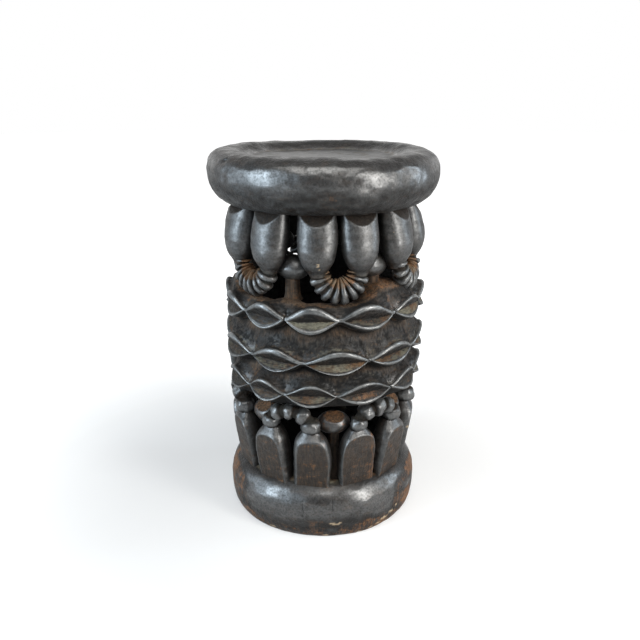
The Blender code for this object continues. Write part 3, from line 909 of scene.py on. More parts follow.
def wood_colour(bench, look, effects, masks, pale, bare):
    """Black over brown, then rubbing with its painted highlight, wear, dust, chips, soot streaks,
    cracks and painted shade.
    """
    wood = settings().wood
    show = bench.times(effects.wax["Thin"], look.brown_show)
    show = bench.plus(show, effects.grain["Streaks"], 0.25 * look.brown_show)
    surface = bench.tint(show, wood.black, wood.brown)
    raw_show = bench.times(masks["raw"], bench.step(effects.grain["Streaks"], 0.0, 1.0, 0.35, 1.0))
    soil = bench.tint(effects.dust["Earthy"], wood.dust, wood.earth)
    # Over the rubbed mask the paler colour also paints a highlight, and over the deep mask the depth
    # colour paints shade.
    layers = (
        (raw_show, wood.raw), (effects.rub["Rub"], wood.rubbed), (bare, wood.worn),
        (effects.dust["Dust"], soil), (pale, wood.chip), (masks["deep"], wood.depth),
        (masks["crack"], wood.crack),
    )
    for share, tone in layers:
        surface = bench.tint(share, surface, tone)
    return surface


def wood_roughness(bench, look, effects, masks, rough, bare, painted_shade_and_soot):
    """Smooth where it was waxed or rubbed, rough where it is raw, dusty, bare, soot-streaked, cracked
    or painted with shade.
    """
    roughness = bench.level(effects.wax["Dull"], look.gloss, look.dull)
    layers = (
        (bench.times(effects.rub["Rub"], 0.6), 0.30), (masks["polish"], 0.42), (rough, 0.80),
        (bench.times(bare, 0.8), 0.66), (painted_shade_and_soot, 0.85),
    )
    for share, amount in layers:
        roughness = bench.level(share, roughness, amount)
    return roughness


def wood_relief(bench, look, where, effects, masks):
    """Heights in metres of the grain, the scraper's marks, the wax, the pits and the dents."""
    raw_grain_depth, raw_mark_depth, polished_mark_depth = 0.0009, 0.0010, 0.00005
    wax_depth, dent_depth, dust_depth = 0.00022, 0.00035, 0.0003
    relief = bench.times(effects.grain["Height"], look.grain_depth)
    raw_grain = bench.times(masks["raw"], effects.grain["Height"], raw_grain_depth)
    relief = bench.plus(relief, raw_grain)
    mark_depth = bench.level(masks["polish"], look.mark_depth, polished_mark_depth)
    mark_depth = bench.level(masks["raw"], mark_depth, raw_mark_depth)
    dents = bench.noise(where, 1.5, 0.6, 190.0)
    layers = (
        (effects.marks["Height"], mark_depth), (effects.wax["Height"], wax_depth),
        (effects.nicks["Height"], look.pit_depth), (dents, dent_depth),
        (effects.dust["Height"], dust_depth),
    )
    for height, depth in layers:
        relief = bench.plus(relief, height, depth)
    return bench.times(relief, bench.plus(1.0, masks["polish"], -0.88))


def wax_coat(bench, where, effects, masks, matte, bare):
    """How thick the wax shines, worn through in small patches and gone from bare wood."""
    waxed = bench.times(masks["gloss"], bench.less(1.0, matte))
    waxed = bench.times(waxed, bench.level(effects.wax["Dull"], 1.0, 0.65))
    worn_through = bench.step(bench.noise(where, 2.5, 0.65, 380.0), 0.34, 0.58, 0.58, 1.10)
    return bench.times(waxed, worn_through, bench.plus(1.0, bare, -0.9))


# Seat and foot

def carved(points, closed_along, depth, seed):
    """Grid points with the broad and the small unevenness that carving by hand leaves."""
    normals = grid_normals(points, closed_along)
    broad = lumps(points, 0.042, seed) * depth
    small = lumps(points, (0.012, 0.012, 0.007), seed + 1) * depth * 0.36
    facets = (scoops(points, (0.016, 0.016, 0.010), seed + 2) - 0.35) * depth * 0.35
    return points + normals * (broad + small + facets)[..., None]


def sink(points, closed_along, mask, depth):
    """Push grid points inwards where a mask says so."""
    return points - grid_normals(points, closed_along) * (mask * depth)[..., None]


Grid = namedtuple("Grid", "turns radii heights")


def turned_grid(profile, columns):
    """The grid that a profile of (radius, z) rows makes when it is turned round the axis."""
    turns = (np.arange(columns) / columns)[:, None]
    full = np.ones_like(turns)
    return Grid(turns, profile[None, :, 0] * full, profile[None, :, 1] * full)


class STOOL_OT_make_seat(bpy.types.Operator):
    """Sculpt the dished seat"""

    bl_idname = "carved_stool.make_seat"
    bl_label = "Make seat"

    def execute(self, context):
        shape = settings().seat
        low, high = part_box("seat")
        belly = (high.x - 0.0006, low.z + shape.belly_height)
        crest = (shape.crest_radius, high.z - 0.0004)
        grid = turned_grid(self.profile(shape, low.z, high.z, belly, crest), columns=620)
        right_swell = 0.0016 * np.clip(np.sin(grid.turns * TURN), 0, 1) * rise(grid.radii, 0.09, 0.13)
        grid = grid._replace(radii=grid.radii + right_swell)
        turned = on_stool(*grid)
        grid = self.bent(grid, belly, crest)
        points = carved(on_stool(*grid), False, shape.unevenness, 13)
        masks = wear_masks(points, False, 3, 0.00035)
        near_crest = bell(grid.radii - crest[0] - 0.003, 0.006) * (grid.heights > belly[1])
        masks["rub"] = np.maximum(masks["rub"] * 0.7, near_crest * 0.5)
        for number, nick in enumerate(SEAT_NICKS):
            spot = oval_mask(grid.turns, grid.heights, belly[0], nick) * (grid.radii > crest[0])
            ragged = rise(spot + 0.35 * lumps(turned, 0.0022, 20 + number), 0.35, 0.75)
            points = sink(points, False, ragged, nick[4])
            lay(masks, "rub", ragged * 0.45)
        self.paint(masks, points, grid, shape, low.z, high.z)
        seat = mesh_object("carved_seat", [Skin(points, masks, False)], "seat_wood")
        stand_in(seat, "seat_wood", "seat")
        return {"FINISHED"}

    @staticmethod
    def profile(shape, underside, top, belly, crest):
        """Rows of (radius, z) from the middle of the underside to the middle of the dish."""
        pole_radius, dish_sag = 0.002, 0.0008
        edge = (shape.underside_radius, underside)
        floor = (shape.floor_radius, top - shape.dish_depth)
        steps = 18
        slope = straight_rows(crest, floor, steps)
        ease = 0.5 + 0.5 * np.cos(np.pi * np.arange(1, steps + 1) / steps)
        slope[:, 1] = floor[1] + (crest[1] - floor[1]) * ease
        return np.concatenate((
            straight_rows((pole_radius, underside), edge, 14),
            quarter_rows(edge, belly, 36, flat_at_end=False),
            quarter_rows(belly, crest, 42, flat_at_end=True, power=2.5),
            slope,
            straight_rows(floor, (pole_radius, floor[1] - dish_sag), 18),
        ))

    @staticmethod
    def bent(grid, belly, crest):
        """The turned seat, bent out of round as the log and the knife left it."""
        turns, radii, heights = grid
        back_swell, left_swell = 0.0055, 0.0042
        left_lift, crest_lift, crest_wave, crest_drop = 0.0013, 0.0012, 0.0010, 0.0006
        round_place = on_stool(turns, 0.12, 0.0)
        near_crest = bell(radii - crest[0], 0.012) * (heights > belly[1])
        heights = heights + near_crest * (lumps(round_place, 0.055, 11) * crest_wave - crest_drop)
        left_corner = bell(turns_apart(turns, -0.235), 0.035)
        shoulder = bell(radii - 0.127, 0.009) * (heights > belly[1])
        heights = heights + left_corner * shoulder * left_lift
        back_left = bell(turns_apart(turns, -0.325), 0.060)
        radii = radii + back_swell * back_left * rise(radii, 0.10, 0.14)
        square_left = bell(turns_apart(turns, -0.300), 0.085)
        upper_side = rise(heights, belly[1] + 0.008, belly[1] + 0.022) * rise(radii, 0.108, 0.125)
        radii = radii + left_swell * square_left * upper_side
        heights = heights + crest_lift * square_left * near_crest
        return Grid(turns, radii * (1 + 0.0035 * lumps(round_place, 0.11, 12)), heights)

    @staticmethod
    def paint(masks, points, grid, shape, underside, top):
        """Fill the seat's masks: a waxed belly, a dull worn side, a sat-on dish and painted shade
        under the middle.
        """
        radii, heights = grid.radii, grid.heights
        belly = underside + shape.belly_height
        masks["dust"] = masks["dust"] * 0.5
        masks["raw"] = np.where(heights < underside + 0.0008, 0.8, 0.0)
        # Painted shade on the middle of the underside, over the drum's hollow.
        masks["deep"] = (1 - rise(radii, 0.085, 0.112)) * (heights < underside + 0.0010)
        dish = 1 - rise(radii, shape.floor_radius, shape.floor_radius + 0.006)
        masks["polish"] = dish * (heights > belly)
        sat_on = 0.62 + 0.18 * lumps(points, 0.040, 18) + 0.12 * lumps(points, 0.009, 19)
        lay(masks, "rub", masks["polish"] * np.clip(sat_on, 0.2, 0.9))
        cloud = 0.010 * lumps(points, 0.045, 15) + 0.004 * lumps(points, 0.014, 16)
        waxed = 0.06 + 0.94 * rise(heights + cloud, underside + 0.020, belly + 0.004)
        shoulder = rise(heights, belly + 0.016, top - 0.002)
        masks["gloss"] = waxed * (1 - 0.85 * shoulder) * (1 - 0.78 * masks["polish"])
        low_side = 1 - rise(heights + cloud * 1.5, underside + 0.004, underside + 0.034)
        masks["worn"] = 0.26 * low_side * rise(lumps(points, (0.03, 0.03, 0.010), 17), -0.5, 0.4)


class STOOL_OT_make_foot(bpy.types.Operator):
    """Sculpt the foot ring, with its cracks, chips and worn places"""

    bl_idname = "carved_stool.make_foot"
    bl_label = "Make foot"

    def execute(self, context):
        shape = settings().foot
        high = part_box("foot")[1]
        belly = (high.x, shape.belly_height)
        grid = turned_grid(self.profile(shape, belly, high.z), columns=560)
        outside = rise(grid.radii, 0.100, 0.112)
        grid = self.bent(grid, outside, high.z)
        turned = on_stool(*grid)
        points = carved(turned, True, shape.unevenness, 32)
        masks = wear_masks(points, True, 3, 0.00035)
        masks["crack"], masks["chip"] = np.zeros_like(outside), np.zeros_like(outside)
        crack_width, crack_depth = 0.0010, 0.0007
        for number, crack in enumerate(FOOT_CRACKS):
            line = crack_mask(grid.turns, grid.heights, belly[0], crack, crack_width, number)
            lay(masks, "crack", line * outside * 0.55)
        points = sink(points, True, masks["crack"], crack_depth)
        for number, chip in enumerate(FOOT_CHIPS):
            spot = oval_mask(grid.turns, grid.heights, belly[0], chip) * outside
            ragged = rise(spot * (1 + 0.9 * lumps(points, 0.0026, 40 + number)), 0.22, 0.50)
            points = sink(points, True, ragged, chip[4])
            lay(masks, "chip", ragged * 0.9)
        worn = np.zeros_like(outside)
        for spot in FOOT_WORN:
            ragged = oval_mask(grid.turns, grid.heights, belly[0], spot)
            ragged = rise(ragged * (1 + 0.7 * lumps(turned, (0.03, 0.03, 0.014), 42)), 0.10, 0.85)
            worn = np.maximum(worn, ragged)
        self.paint(masks, points, grid, worn, outside, high.z)
        points[..., 2] = np.maximum(points[..., 2], 0.0)
        foot = mesh_object("carved_foot", [Skin(points, masks, True)], "foot_wood")
        stand_in(foot, "foot_wood", "foot")
        return {"FINISHED"}

    @staticmethod
    def profile(shape, belly, top):
        """Rows of (radius, z) round the ring, from the hollow's foot out, up and back."""
        floor_edge = (shape.floor_radius, 0.0)
        top_edge = (shape.top_radius, top)
        hollow = shape.hollow_radius
        return np.concatenate((
            straight_rows((hollow, 0.0), floor_edge, 10),
            quarter_rows(floor_edge, belly, 30, flat_at_end=False),
            quarter_rows(belly, top_edge, 42, flat_at_end=True),
            straight_rows(top_edge, (hollow, top), 16),
            straight_rows((hollow, top), (hollow, 0.0), 12),
        ))

    @staticmethod
    def bent(grid, outside, top):
        """The turned ring, a little out of round, with the rough ground between the limbs."""
        turns, radii, heights = grid
        round_place = on_stool(turns, 0.12, 0.0)
        radii = radii * (1 + 0.004 * lumps(round_place, 0.10, 31) * outside)
        behind = np.exp(-(turns_apart(turns, 0.47) / 0.13) ** 4)
        ground = 1 - rise(radii - 0.016 * behind, 0.088, 0.099)
        ground = ground * rise(heights, top - 0.006, top - 0.001)
        build_up = 0.0080 + 0.0040 * behind + 0.002 * lumps(round_place, 0.02, 33)
        return Grid(turns, radii, heights + ground * build_up)

    @staticmethod
    def paint(masks, points, grid, worn, outside, top):
        """Fill the foot's masks: waxed above, reddish brown at the sides and along the floor, painted
        shade in the hollow.
        """
        radii, heights = grid.radii, grid.heights
        patches = lumps(points, 0.020, 37) + 0.5 * lumps(points, (0.006, 0.006, 0.012), 38)
        masks["worn"] = worn * outside * (0.55 + 0.30 * rise(patches, -0.6, 0.6))
        ledge = rise(heights, top - 0.004, top - 0.0005) * rise(0.124 - radii, 0.0, 0.008)
        lay(masks, "dust", ledge * 0.7)
        masks["raw"] = np.where(radii < settings().foot.hollow_radius + 0.010, 1.0, 0.0)
        # Painted shade inside the ring's hollow.
        masks["deep"] = 1 - rise(radii, 0.086, 0.102)
        cloud = 0.008 * lumps(points, 0.045, 35) + 0.004 * lumps(points, 0.014, 36)
        waxed = 0.08 + 0.92 * rise(heights + cloud, 0.020, 0.040) * outside
        waxed = waxed * (1 - 0.85 * rise(heights, 0.0625, 0.0725))
        masks["gloss"] = waxed * (1 - 0.85 * rise(masks["worn"], 0.05, 0.45))
        low_wear = 0.60 * (1 - rise(heights + cloud, 0.006, 0.042))
        lay(masks, "worn", low_wear * outside)


# Drum of cowries

CRACK_RADIUS = 0.128
Lips = namedtuple("Lips", "number share upper lower open_down opening")
Rims = namedtuple("Rims", "upper_roll upper_band lower_band lower_roll slit")
Edges = namedtuple("Edges", "lips radius crease upper_roll lower_rim lower_roll start dust bare")


def band_lips(name, turns):
    """Heights of a band's lips at turn shares, and how far each cowrie is open there."""
    low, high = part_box(name)
    floor_z, height = low.z, high.z - low.z
    starts = np.array(CORNER_SHARES[name])
    ends = np.append(starts[1:], starts[0] + 1)
    local = starts[0] + (turns - starts[0]) % 1.0
    number = np.searchsorted(starts, local, side="right") - 1
    share = (local - starts[number]) / (ends - starts)[number]
    ways = np.random.default_rng(len(name)).uniform(-1, 1, (len(starts), 4))
    lean_up = share ** (1 + 0.12 * ways[number, 0])
    lean_down = share ** (1 + 0.12 * ways[number, 1])
    open_up = np.sin(np.pi * lean_up) ** 1.25
    open_down = np.sin(np.pi * lean_down) ** 1.1
    band = BANDS[name]
    ridge = floor_z + height * band.ridge + 0.0006 * lumps(on_stool(turns, 0.13, 0.0), 0.05, 51)
    up = (high.z - ridge) * band.rise * (1 + 0.05 * ways[number, 2])
    down = (ridge - floor_z) * band.drop * (1 + 0.05 * ways[number, 3])
    upper = ridge + np.maximum(up * open_up, 0.0011)
    lower = ridge - np.maximum(down * open_down, 0.0011)
    return Lips(number, share, upper, lower, open_down, np.sqrt(open_up * open_down))


def groove(name, turns, shape):
    """Radii and heights of the groove that runs below a band's lower lips."""
    lips = band_lips(name, turns)
    below = lips.lower - shape.undercut - 0.0040 * (1 - lips.open_down)
    wander = 0.0010 * lumps(on_stool(turns, 0.12, 0.0), 0.03, 52)
    return shape.valley_radius - 0.0022 * (1 - rise(lips.opening, 0.0, 0.55)), below + wander


def drum_top_line(turns):
    """Heights of the drum's top, which rises into rough mounds between the links."""
    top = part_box("cowrie_band_top")[1].z
    heights = top - 0.0030 + 0.0014 * lumps(on_stool(turns, 0.11, 0.0), 0.03, 53)
    mounds = np.zeros_like(turns)
    for turn, half, size in DRUM_MOUNDS:
        away = np.abs(turns_apart(turns, turn)) / half
        mounds = np.maximum(mounds, size * np.exp(-away ** 4 * 0.9))
    return heights + mounds, mounds


def band_controls(name, turns, shape):
    """Control points down a band's section, as (columns, points, 2), and rows between them."""
    lips = band_lips(name, turns)
    opening = lips.opening
    cuts = np.array(COWRIE_CUTS[name])[lips.number].T * 0.001
    upper_roll, upper_band, lower_band, lower_roll, slit = cuts[:5]
    crease_share, dusty, bare = cuts[5:] * 1000
    rims = Rims(
        upper_roll * (0.50 + 0.50 * opening), upper_band * opening ** 1.3,
        lower_band * opening ** 1.3, lower_roll * (0.50 + 0.50 * opening), slit * opening ** 0.75,
    )
    lip = shape.corner_radius + (shape.lip_radius - shape.corner_radius) * opening ** 0.8
    lip = lip - BANDS[name].narrow * bell(turns_apart(turns, -0.25), 0.055)
    lip = lip + 0.0028 * bell(turns_apart(turns, 0.22), 0.060) * BANDS[name].wide
    if name == TOP_BAND:
        head, start_radius, start_z = top_head(turns, lips, shape)
    else:
        head, start_radius, start_z = lower_head(name, turns, shape)
    body, crease = cowrie_stations(lips, lip, rims, start_radius, start_z, crease_share)
    stations = head + body + foot_stations(name, turns, shape)
    controls = np.stack([
        np.stack(np.broadcast_arrays(radius, z), axis=-1) * np.ones((len(turns), 1))
        for radius, z, _ in stations
    ], axis=1)
    lower_rim = lips.lower + rims.lower_band
    edges = Edges(lips, lip, crease, rims.upper_roll, lower_rim, rims.lower_roll, start_z, dusty, bare)
    return controls, [rows for _, _, rows in stations], edges


def top_head(turns, lips, shape):
    """Stations from the hollow over the drum's rough top, and where its outer slope starts."""
    floor_z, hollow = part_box(TOP_BAND)[0].z, shape.hollow_radius
    top, mounds = drum_top_line(turns)
    edge = 0.0995 - 0.020 * np.minimum(mounds / 0.012, 1.0)
    edge = edge + 0.002 * lumps(on_stool(turns, 0.1, 0.0), 0.02, 54)
    shoulder = 0.1185
    start_radius = shoulder + 0.0012
    shoulder_z = np.maximum(lips.upper + 0.0012, top - mounds * 0.20 - 0.0012)
    return [
        (hollow, floor_z + 0.001, 2),
        (np.minimum(hollow + 0.004, edge - 0.001), floor_z + 0.020, 3),
        (edge - 0.002, top - 0.012, 4),
        (edge, top - 0.0035, 4),
        (edge + 0.0035, top + 0.0003, 5),
        ((edge + shoulder) / 2 + 0.001, top + 0.0006, 7),
        (shoulder - 0.0025, (top * 2 + shoulder_z) / 3, 5),
        (start_radius, shoulder_z, 4),
    ], start_radius, shoulder_z


def lower_head(name, turns, shape):
    """Stations from the hollow to the groove under the band above, where its slope starts."""
    low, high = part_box(name)
    names = list(BANDS)
    above_radius, above = groove(names[names.index(name) - 1], turns, shape)
    hollow = shape.hollow_radius
    return [
        (hollow, low.z + 0.001, 2),
        (hollow, high.z - 0.004, 3),
        (hollow + 0.015, high.z - 0.001, 3),
        (shape.valley_radius - 0.009, above + 0.0045, 3),
        (above_radius - 0.0005, above + 0.0008, 4),
    ], above_radius, above


def cowrie_stations(lips, lip, rims, start_radius, start_z, crease_share):
    """Stations down the slope and over both rims of the cowries, and the height of the crease."""
    upper_roll, upper_band, lower_band, lower_roll, slit = rims
    slope_z = start_z + (lips.upper - start_z) * 0.50
    slope_radius = start_radius + (lip - start_radius) * 0.26
    mouth_top = lips.upper - upper_roll * 1.7 - upper_band
    mouth_low = lips.lower + lower_band + lower_roll * 1.5
    crease = mouth_low + np.maximum(mouth_top - mouth_low, 0.0004) * crease_share
    return [
        (slope_radius, slope_z, 7),
        (lip - upper_roll * 2.4 - 0.0012, lips.upper + upper_roll * 0.55, 4),
        (lip - upper_roll * 1.45, lips.upper + upper_roll * 0.90, 4),
        (lip - upper_roll * 0.25, lips.upper + upper_roll * 0.45, 4),
        (lip, lips.upper - upper_roll * 0.85, 4),
        (lip - upper_band * 0.22 - slit * 0.05, mouth_top + upper_roll * 0.3, 4),
        (lip - upper_band * 0.30 - slit * 0.45, mouth_top + (crease - mouth_top) * 0.35, 5),
        (lip - upper_band * 0.20 - slit * 0.88, mouth_top + (crease - mouth_top) * 0.84, 4),
        (lip - upper_band * 0.15 - slit * 1.02, crease, 3),
        (lip - upper_band * 0.10 - slit * 0.90, crease + (mouth_low - crease) * 0.10, 4),
        (lip - slit * 0.42, crease + (mouth_low - crease) * 0.60, 6),
        (lip - lower_roll * 0.9 - slit * 0.05, mouth_low - lower_roll * 0.15, 4),
        (lip - lower_roll * 0.05, mouth_low - lower_roll * 0.75, 4),
        (lip - lower_roll * 0.10 - lower_band * 0.10, lips.lower + lower_band * 0.55, 4),
        (lip - 0.0006 - lower_band * 0.30, lips.lower, 4),
        (lip - 0.0042 - lower_band * 0.55, lips.lower - 0.0013, 4),
    ], crease


def foot_stations(name, turns, shape):
    """Stations from below the lower lips back to the hollow."""
    floor_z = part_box(name)[0].z
    if name == LOW_BAND:
        radius, below = 0.1185, floor_z + 0.0004
        behind = below
    else:
        radius, below = groove(name, turns, shape)
        behind = below - 0.0010
    return [
        (radius + 0.0010, below + 0.0006, 5),
        (radius - 0.0080, behind, 4),
        (shape.hollow_radius + 0.008, floor_z + 0.0004, 3),
    ]


class STOOL_OT_make_drum(bpy.types.Operator):
    """Carve the three bands of cowries"""

    bl_idname = "carved_stool.make_drum"
    bl_label = "Make drum"

    def execute(self, context):
        shape = settings().drum
        columns = 840
        turns = np.arange(columns) / columns
        for order, name in enumerate(BANDS):
            controls, rows_per_span, edges = band_controls(name, turns, shape)
            section = soft_rows(controls, rows_per_span)
            grid = Grid(turns[:, None], section[..., 0], section[..., 1])
            rims = self.rim_mask(grid.radii, grid.heights, edges)
            ledge = np.zeros_like(grid.radii)
            if name == TOP_BAND:
                ledge = 1 - rise(grid.radii, 0.118, 0.124)
            points = carved(on_stool(*grid), True, shape.unevenness, 60 + order * 5)
            points = self.knife_cut(points, rims, ledge, 64 + order)
            masks = wear_masks(points, True, 2, 0.00022)
            points = self.paint(name, order, masks, points, grid, rims, ledge, edges)
            band = mesh_object("carved_" + name, [Skin(points, masks, True)], "band_wood")
            stand_in(band, "band_wood", name)
        return {"FINISHED"}

    @staticmethod
    def knife_cut(points, rims, ledge, seed):
        """A band's points with small knife cuts in its slopes and chisel cuts in its ledge."""
        knife_depth, chisel_depth = 0.0006, 0.0012
        cuts = scoops(points, (0.0075, 0.0075, 0.0045), seed) - 0.35
        depth = knife_depth * (1 - rims) + chisel_depth * ledge
        if ledge.any():
            chisel = scoops(points, (0.012, 0.012, 0.009), 66) - 0.35
            cuts = cuts * (1 - ledge) + chisel * ledge
        return points + grid_normals(points, True) * (cuts * depth)[..., None]

    def paint(self, name, order, masks, points, grid, rims, ledge, edges):
        """Fill a band's masks, and give its points back with the drying cracks sunk in."""
        radii, heights = grid.radii, grid.heights
        lips = edges.lips
        patches = lumps(points, 0.016, 80 + order) + 0.5 * lumps(points, 0.005, 81 + order)
        streaks = lumps(points, (0.007, 0.007, 0.0014), 82 + order)
        streaks = streaks + 0.7 * lumps(points, (0.0025, 0.0025, 0.0008), 83 + order)
        right = bell(turns_apart(grid.turns, 0.125), 0.045)

        # Dust and bare wood in the slits, on the slopes and on the ledge
        inside_slit = self.slit_mask(radii, heights, edges)
        corner = (1 - lips.opening)[:, None]
        above = rise(heights - lips.upper[:, None], 0.0008, 0.004)
        slope_dust = above * rise(corner + patches * 0.50 + streaks * 0.2, 0.62, 1.15)
        slit_dust = edges.dust[:, None] * (0.35 + 0.65 * rise(streaks, -0.75, 0.35))
        masks["dust"] = np.maximum(masks["dust"] * 0.3, inside_slit * slit_dust)
        lay(masks, "dust", slope_dust * 0.22)
        masks["dust"] = masks["dust"] * (1 - rims)
        middle = bell(lips.share - 0.55, 0.24)[:, None]
        bare = inside_slit * edges.bare[:, None] * (0.45 + 0.55 * middle)
        masks["worn"] = bare * (0.65 + 0.35 * rise(streaks + patches * 0.5, -0.4, 0.5))
        lay(masks, "worn", slope_dust * rise(patches, -0.1, 0.5) * 0.45)
        lay(masks, "worn", rise(patches + 0.6 * streaks + 1.2 * right, -0.3, 0.8) * ledge * 0.66)
        points = self.cracked(masks, points, grid)

        # Rough cut faces, soot streaks, and painted shade in the hollow, on the lower bands' inner
        # side and below the lips
        slope = 0.10 * rise(patches + streaks * 0.4, -0.6, 0.6) * (1 - rims)
        masks["raw"] = np.maximum(1 - rise(radii, 0.117, 0.1225), slope)
        if name == TOP_BAND:
            dark = 0.80 * rise(lumps(points, 0.020, 90) + 0.4 * streaks, -0.02, 0.32) * (1 - right)
            # Painted shade in the log's hollow, and real black patches on the rough ledge.
            masks["deep"] = np.maximum(1 - rise(radii, 0.094, 0.100), dark * masks["raw"])
            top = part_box(name)[1].z
            masks["deep"] = masks["deep"] * (1 - rise(heights, top + 0.004, top + 0.012) * right)
        else:
            # Painted shade on the inner side of the lower bands.
            masks["deep"] = 1 - rise(radii, 0.108, 0.117)
        # Painted shade in the undercut below the lips and where the slope below it starts.
        shade = self.shade_mask(radii, heights, edges) * (1 - ledge)
        lay(masks, "deep", shade * (0.92 - 0.15 * patches))
        scorched = 0.90 * rise(streaks - 0.6 * patches, -0.02, 0.50)
        scorched = scorched * (1 - rims) * (1 - 0.5 * inside_slit) * rise(radii, 0.117, 0.121)
        lay(masks, "deep", scorched)

        # Rims rubbed paler, which also paints their highlight, and waxed slopes
        rubbed = 0.42 + 0.58 * rise(patches + 0.3 * streaks, -0.6, 0.5)
        masks["rub"] = np.maximum(masks["rub"] * 0.16, rims * rubbed)
        falling = above * rise(edges.radius[:, None] - radii, 0.0095, 0.003)
        sheen = 0.12 * rise(0.5 * streaks - patches, -0.1, 0.7) + 0.40 * falling
        masks["gloss"] = np.maximum(sheen * (1 - 0.85 * ledge) * (1 - inside_slit), rims)
        return points

    @staticmethod
    def cracked(masks, points, grid):
        """Fill the crack mask, and give the points back with the drying cracks sunk in."""
        crack_width, crack_depth = 0.0010, 0.0018
        masks["crack"] = np.zeros_like(grid.radii)
        for number, crack in enumerate(DRUM_CRACKS):
            line = crack_mask(grid.turns, grid.heights, CRACK_RADIUS, crack, crack_width, number)
            lay(masks, "crack", line * rise(grid.radii, 0.112, 0.118))
        return sink(points, True, masks["crack"], crack_depth)

    @staticmethod
    def slit_mask(radii, heights, edges):
        """1 on the slope below the crease inside each cowrie, where dust lies."""
        crease, rim = edges.crease[:, None], edges.lower_rim[:, None]
        share = (heights - rim) / np.maximum(crease - rim, 0.001)
        inside = rise(share, 0.20, 0.42) * (1 - rise(share, 0.90, 1.12))
        open_there = rise(edges.lips.open_down, 0.10, 0.35)[:, None]
        behind = rise(edges.radius[:, None] - radii, 0.0004, 0.0014)
        return inside * open_there * behind * rise(radii, 0.118, 0.121)

    @staticmethod
    def rim_mask(radii, heights, edges):
        """1 on the polished rolls of the upper and lower rims."""
        front = rise(radii - edges.radius[:, None], -0.0050, -0.0022)
        upper_roll, lower_roll = edges.upper_roll[:, None], edges.lower_roll[:, None]
        upper = (heights - edges.lips.upper[:, None] + upper_roll * 0.15) / (upper_roll * 1.35)
        lower = (heights - edges.lower_rim[:, None] - lower_roll * 0.25) / (lower_roll * 1.25)
        return front * np.maximum(np.exp(-upper ** 4), np.exp(-lower ** 4))

    @staticmethod
    def shade_mask(radii, heights, edges):
        """1 where shade is painted: in the undercut below the lips, and where the slope below it
        starts.
        """
        under = edges.lips.lower[:, None] - heights
        below_lip = rise(under, 0.0006, 0.0026) * rise(edges.radius[:, None] - radii, 0.002, 0.006)
        start = edges.start[:, None] - heights
        upper_end = 1 - rise(start, 0.001, 0.0075)
        return np.maximum(below_lip, upper_end * rise(edges.radius[:, None] - radii, 0.006, 0.011))


# Limbs

Member = namedtuple("Member", "turn half_width outer low high")


def member_sizes(node):
    """Where a limb or knob stands and how large it is, read from its solid."""
    points = node_points(node)
    turn = node_turn(node)
    angle = turn * TURN
    outwards = points[:, 0] * math.sin(angle) - points[:, 1] * math.cos(angle)
    across = points[:, 0] * math.cos(angle) + points[:, 1] * math.sin(angle)
    half_width = (across.max() - across.min()) / 2
    return Member(turn, half_width, outwards.max(), points[:, 2].min(), points[:, 2].max())


def faced(across, outwards, heights, turn):
    """Points given across and outwards from the axis, turned to a turn share."""
    angle = turn * TURN
    return np.stack((
        across * math.cos(angle) + outwards * math.sin(angle),
        across * math.sin(angle) - outwards * math.cos(angle),
        heights * np.ones_like(across),
    ), axis=-1)


def soft_stations(stations, shares):
    """Values at shares of a limb's height, on soft curves through its stations."""
    places = np.array(stations[0])
    fine = np.linspace(places[0], places[-1], 400)
    kernel = np.hanning(41)
    kernel /= kernel.sum()
    smooth = []
    for values in stations[1:]:
        line = np.interp(fine, places, values)
        padded = np.concatenate((np.full(20, line[0]), line, np.full(20, line[-1])))
        smooth.append(np.interp(shares, fine, np.convolve(padded, kernel, mode="valid")))
    return smooth


# What sets the limbs of the two rings apart: their sizes in metres, how square they are across and
# at the front, how far they may be turned, and how much they shine and how dusty their ends are
LimbKind = namedtuple(
    "LimbKind", "stations depth bow square front_square yaw gloss end_dust first_seed"
)
LIMB_KINDS = {
    "upper": LimbKind(UPPER_STATIONS, 0.040, 0.0105, 0.96, 0.96, 0.16, 0.76, 0.30, 100),
    "lower": LimbKind(LOWER_STATIONS, 0.036, 0.0120, 0.88, 0.62, 0.10, 0.90, 0.15, 140),
}


def signed_power(values, power):
    """Values raised to a power, each with its own sign."""
    return np.sign(values) * np.abs(values) ** power


# A limb's points with what its masks are drawn from: places across it, heights, shares of its
# length, how far each point looks to its side and to its front, how deep the knife cut into it and
# how far it stood beyond that cut
LimbGrid = namedtuple("LimbGrid", "points across heights shares side front cut beyond")
LOG_RADIUS = 0.133


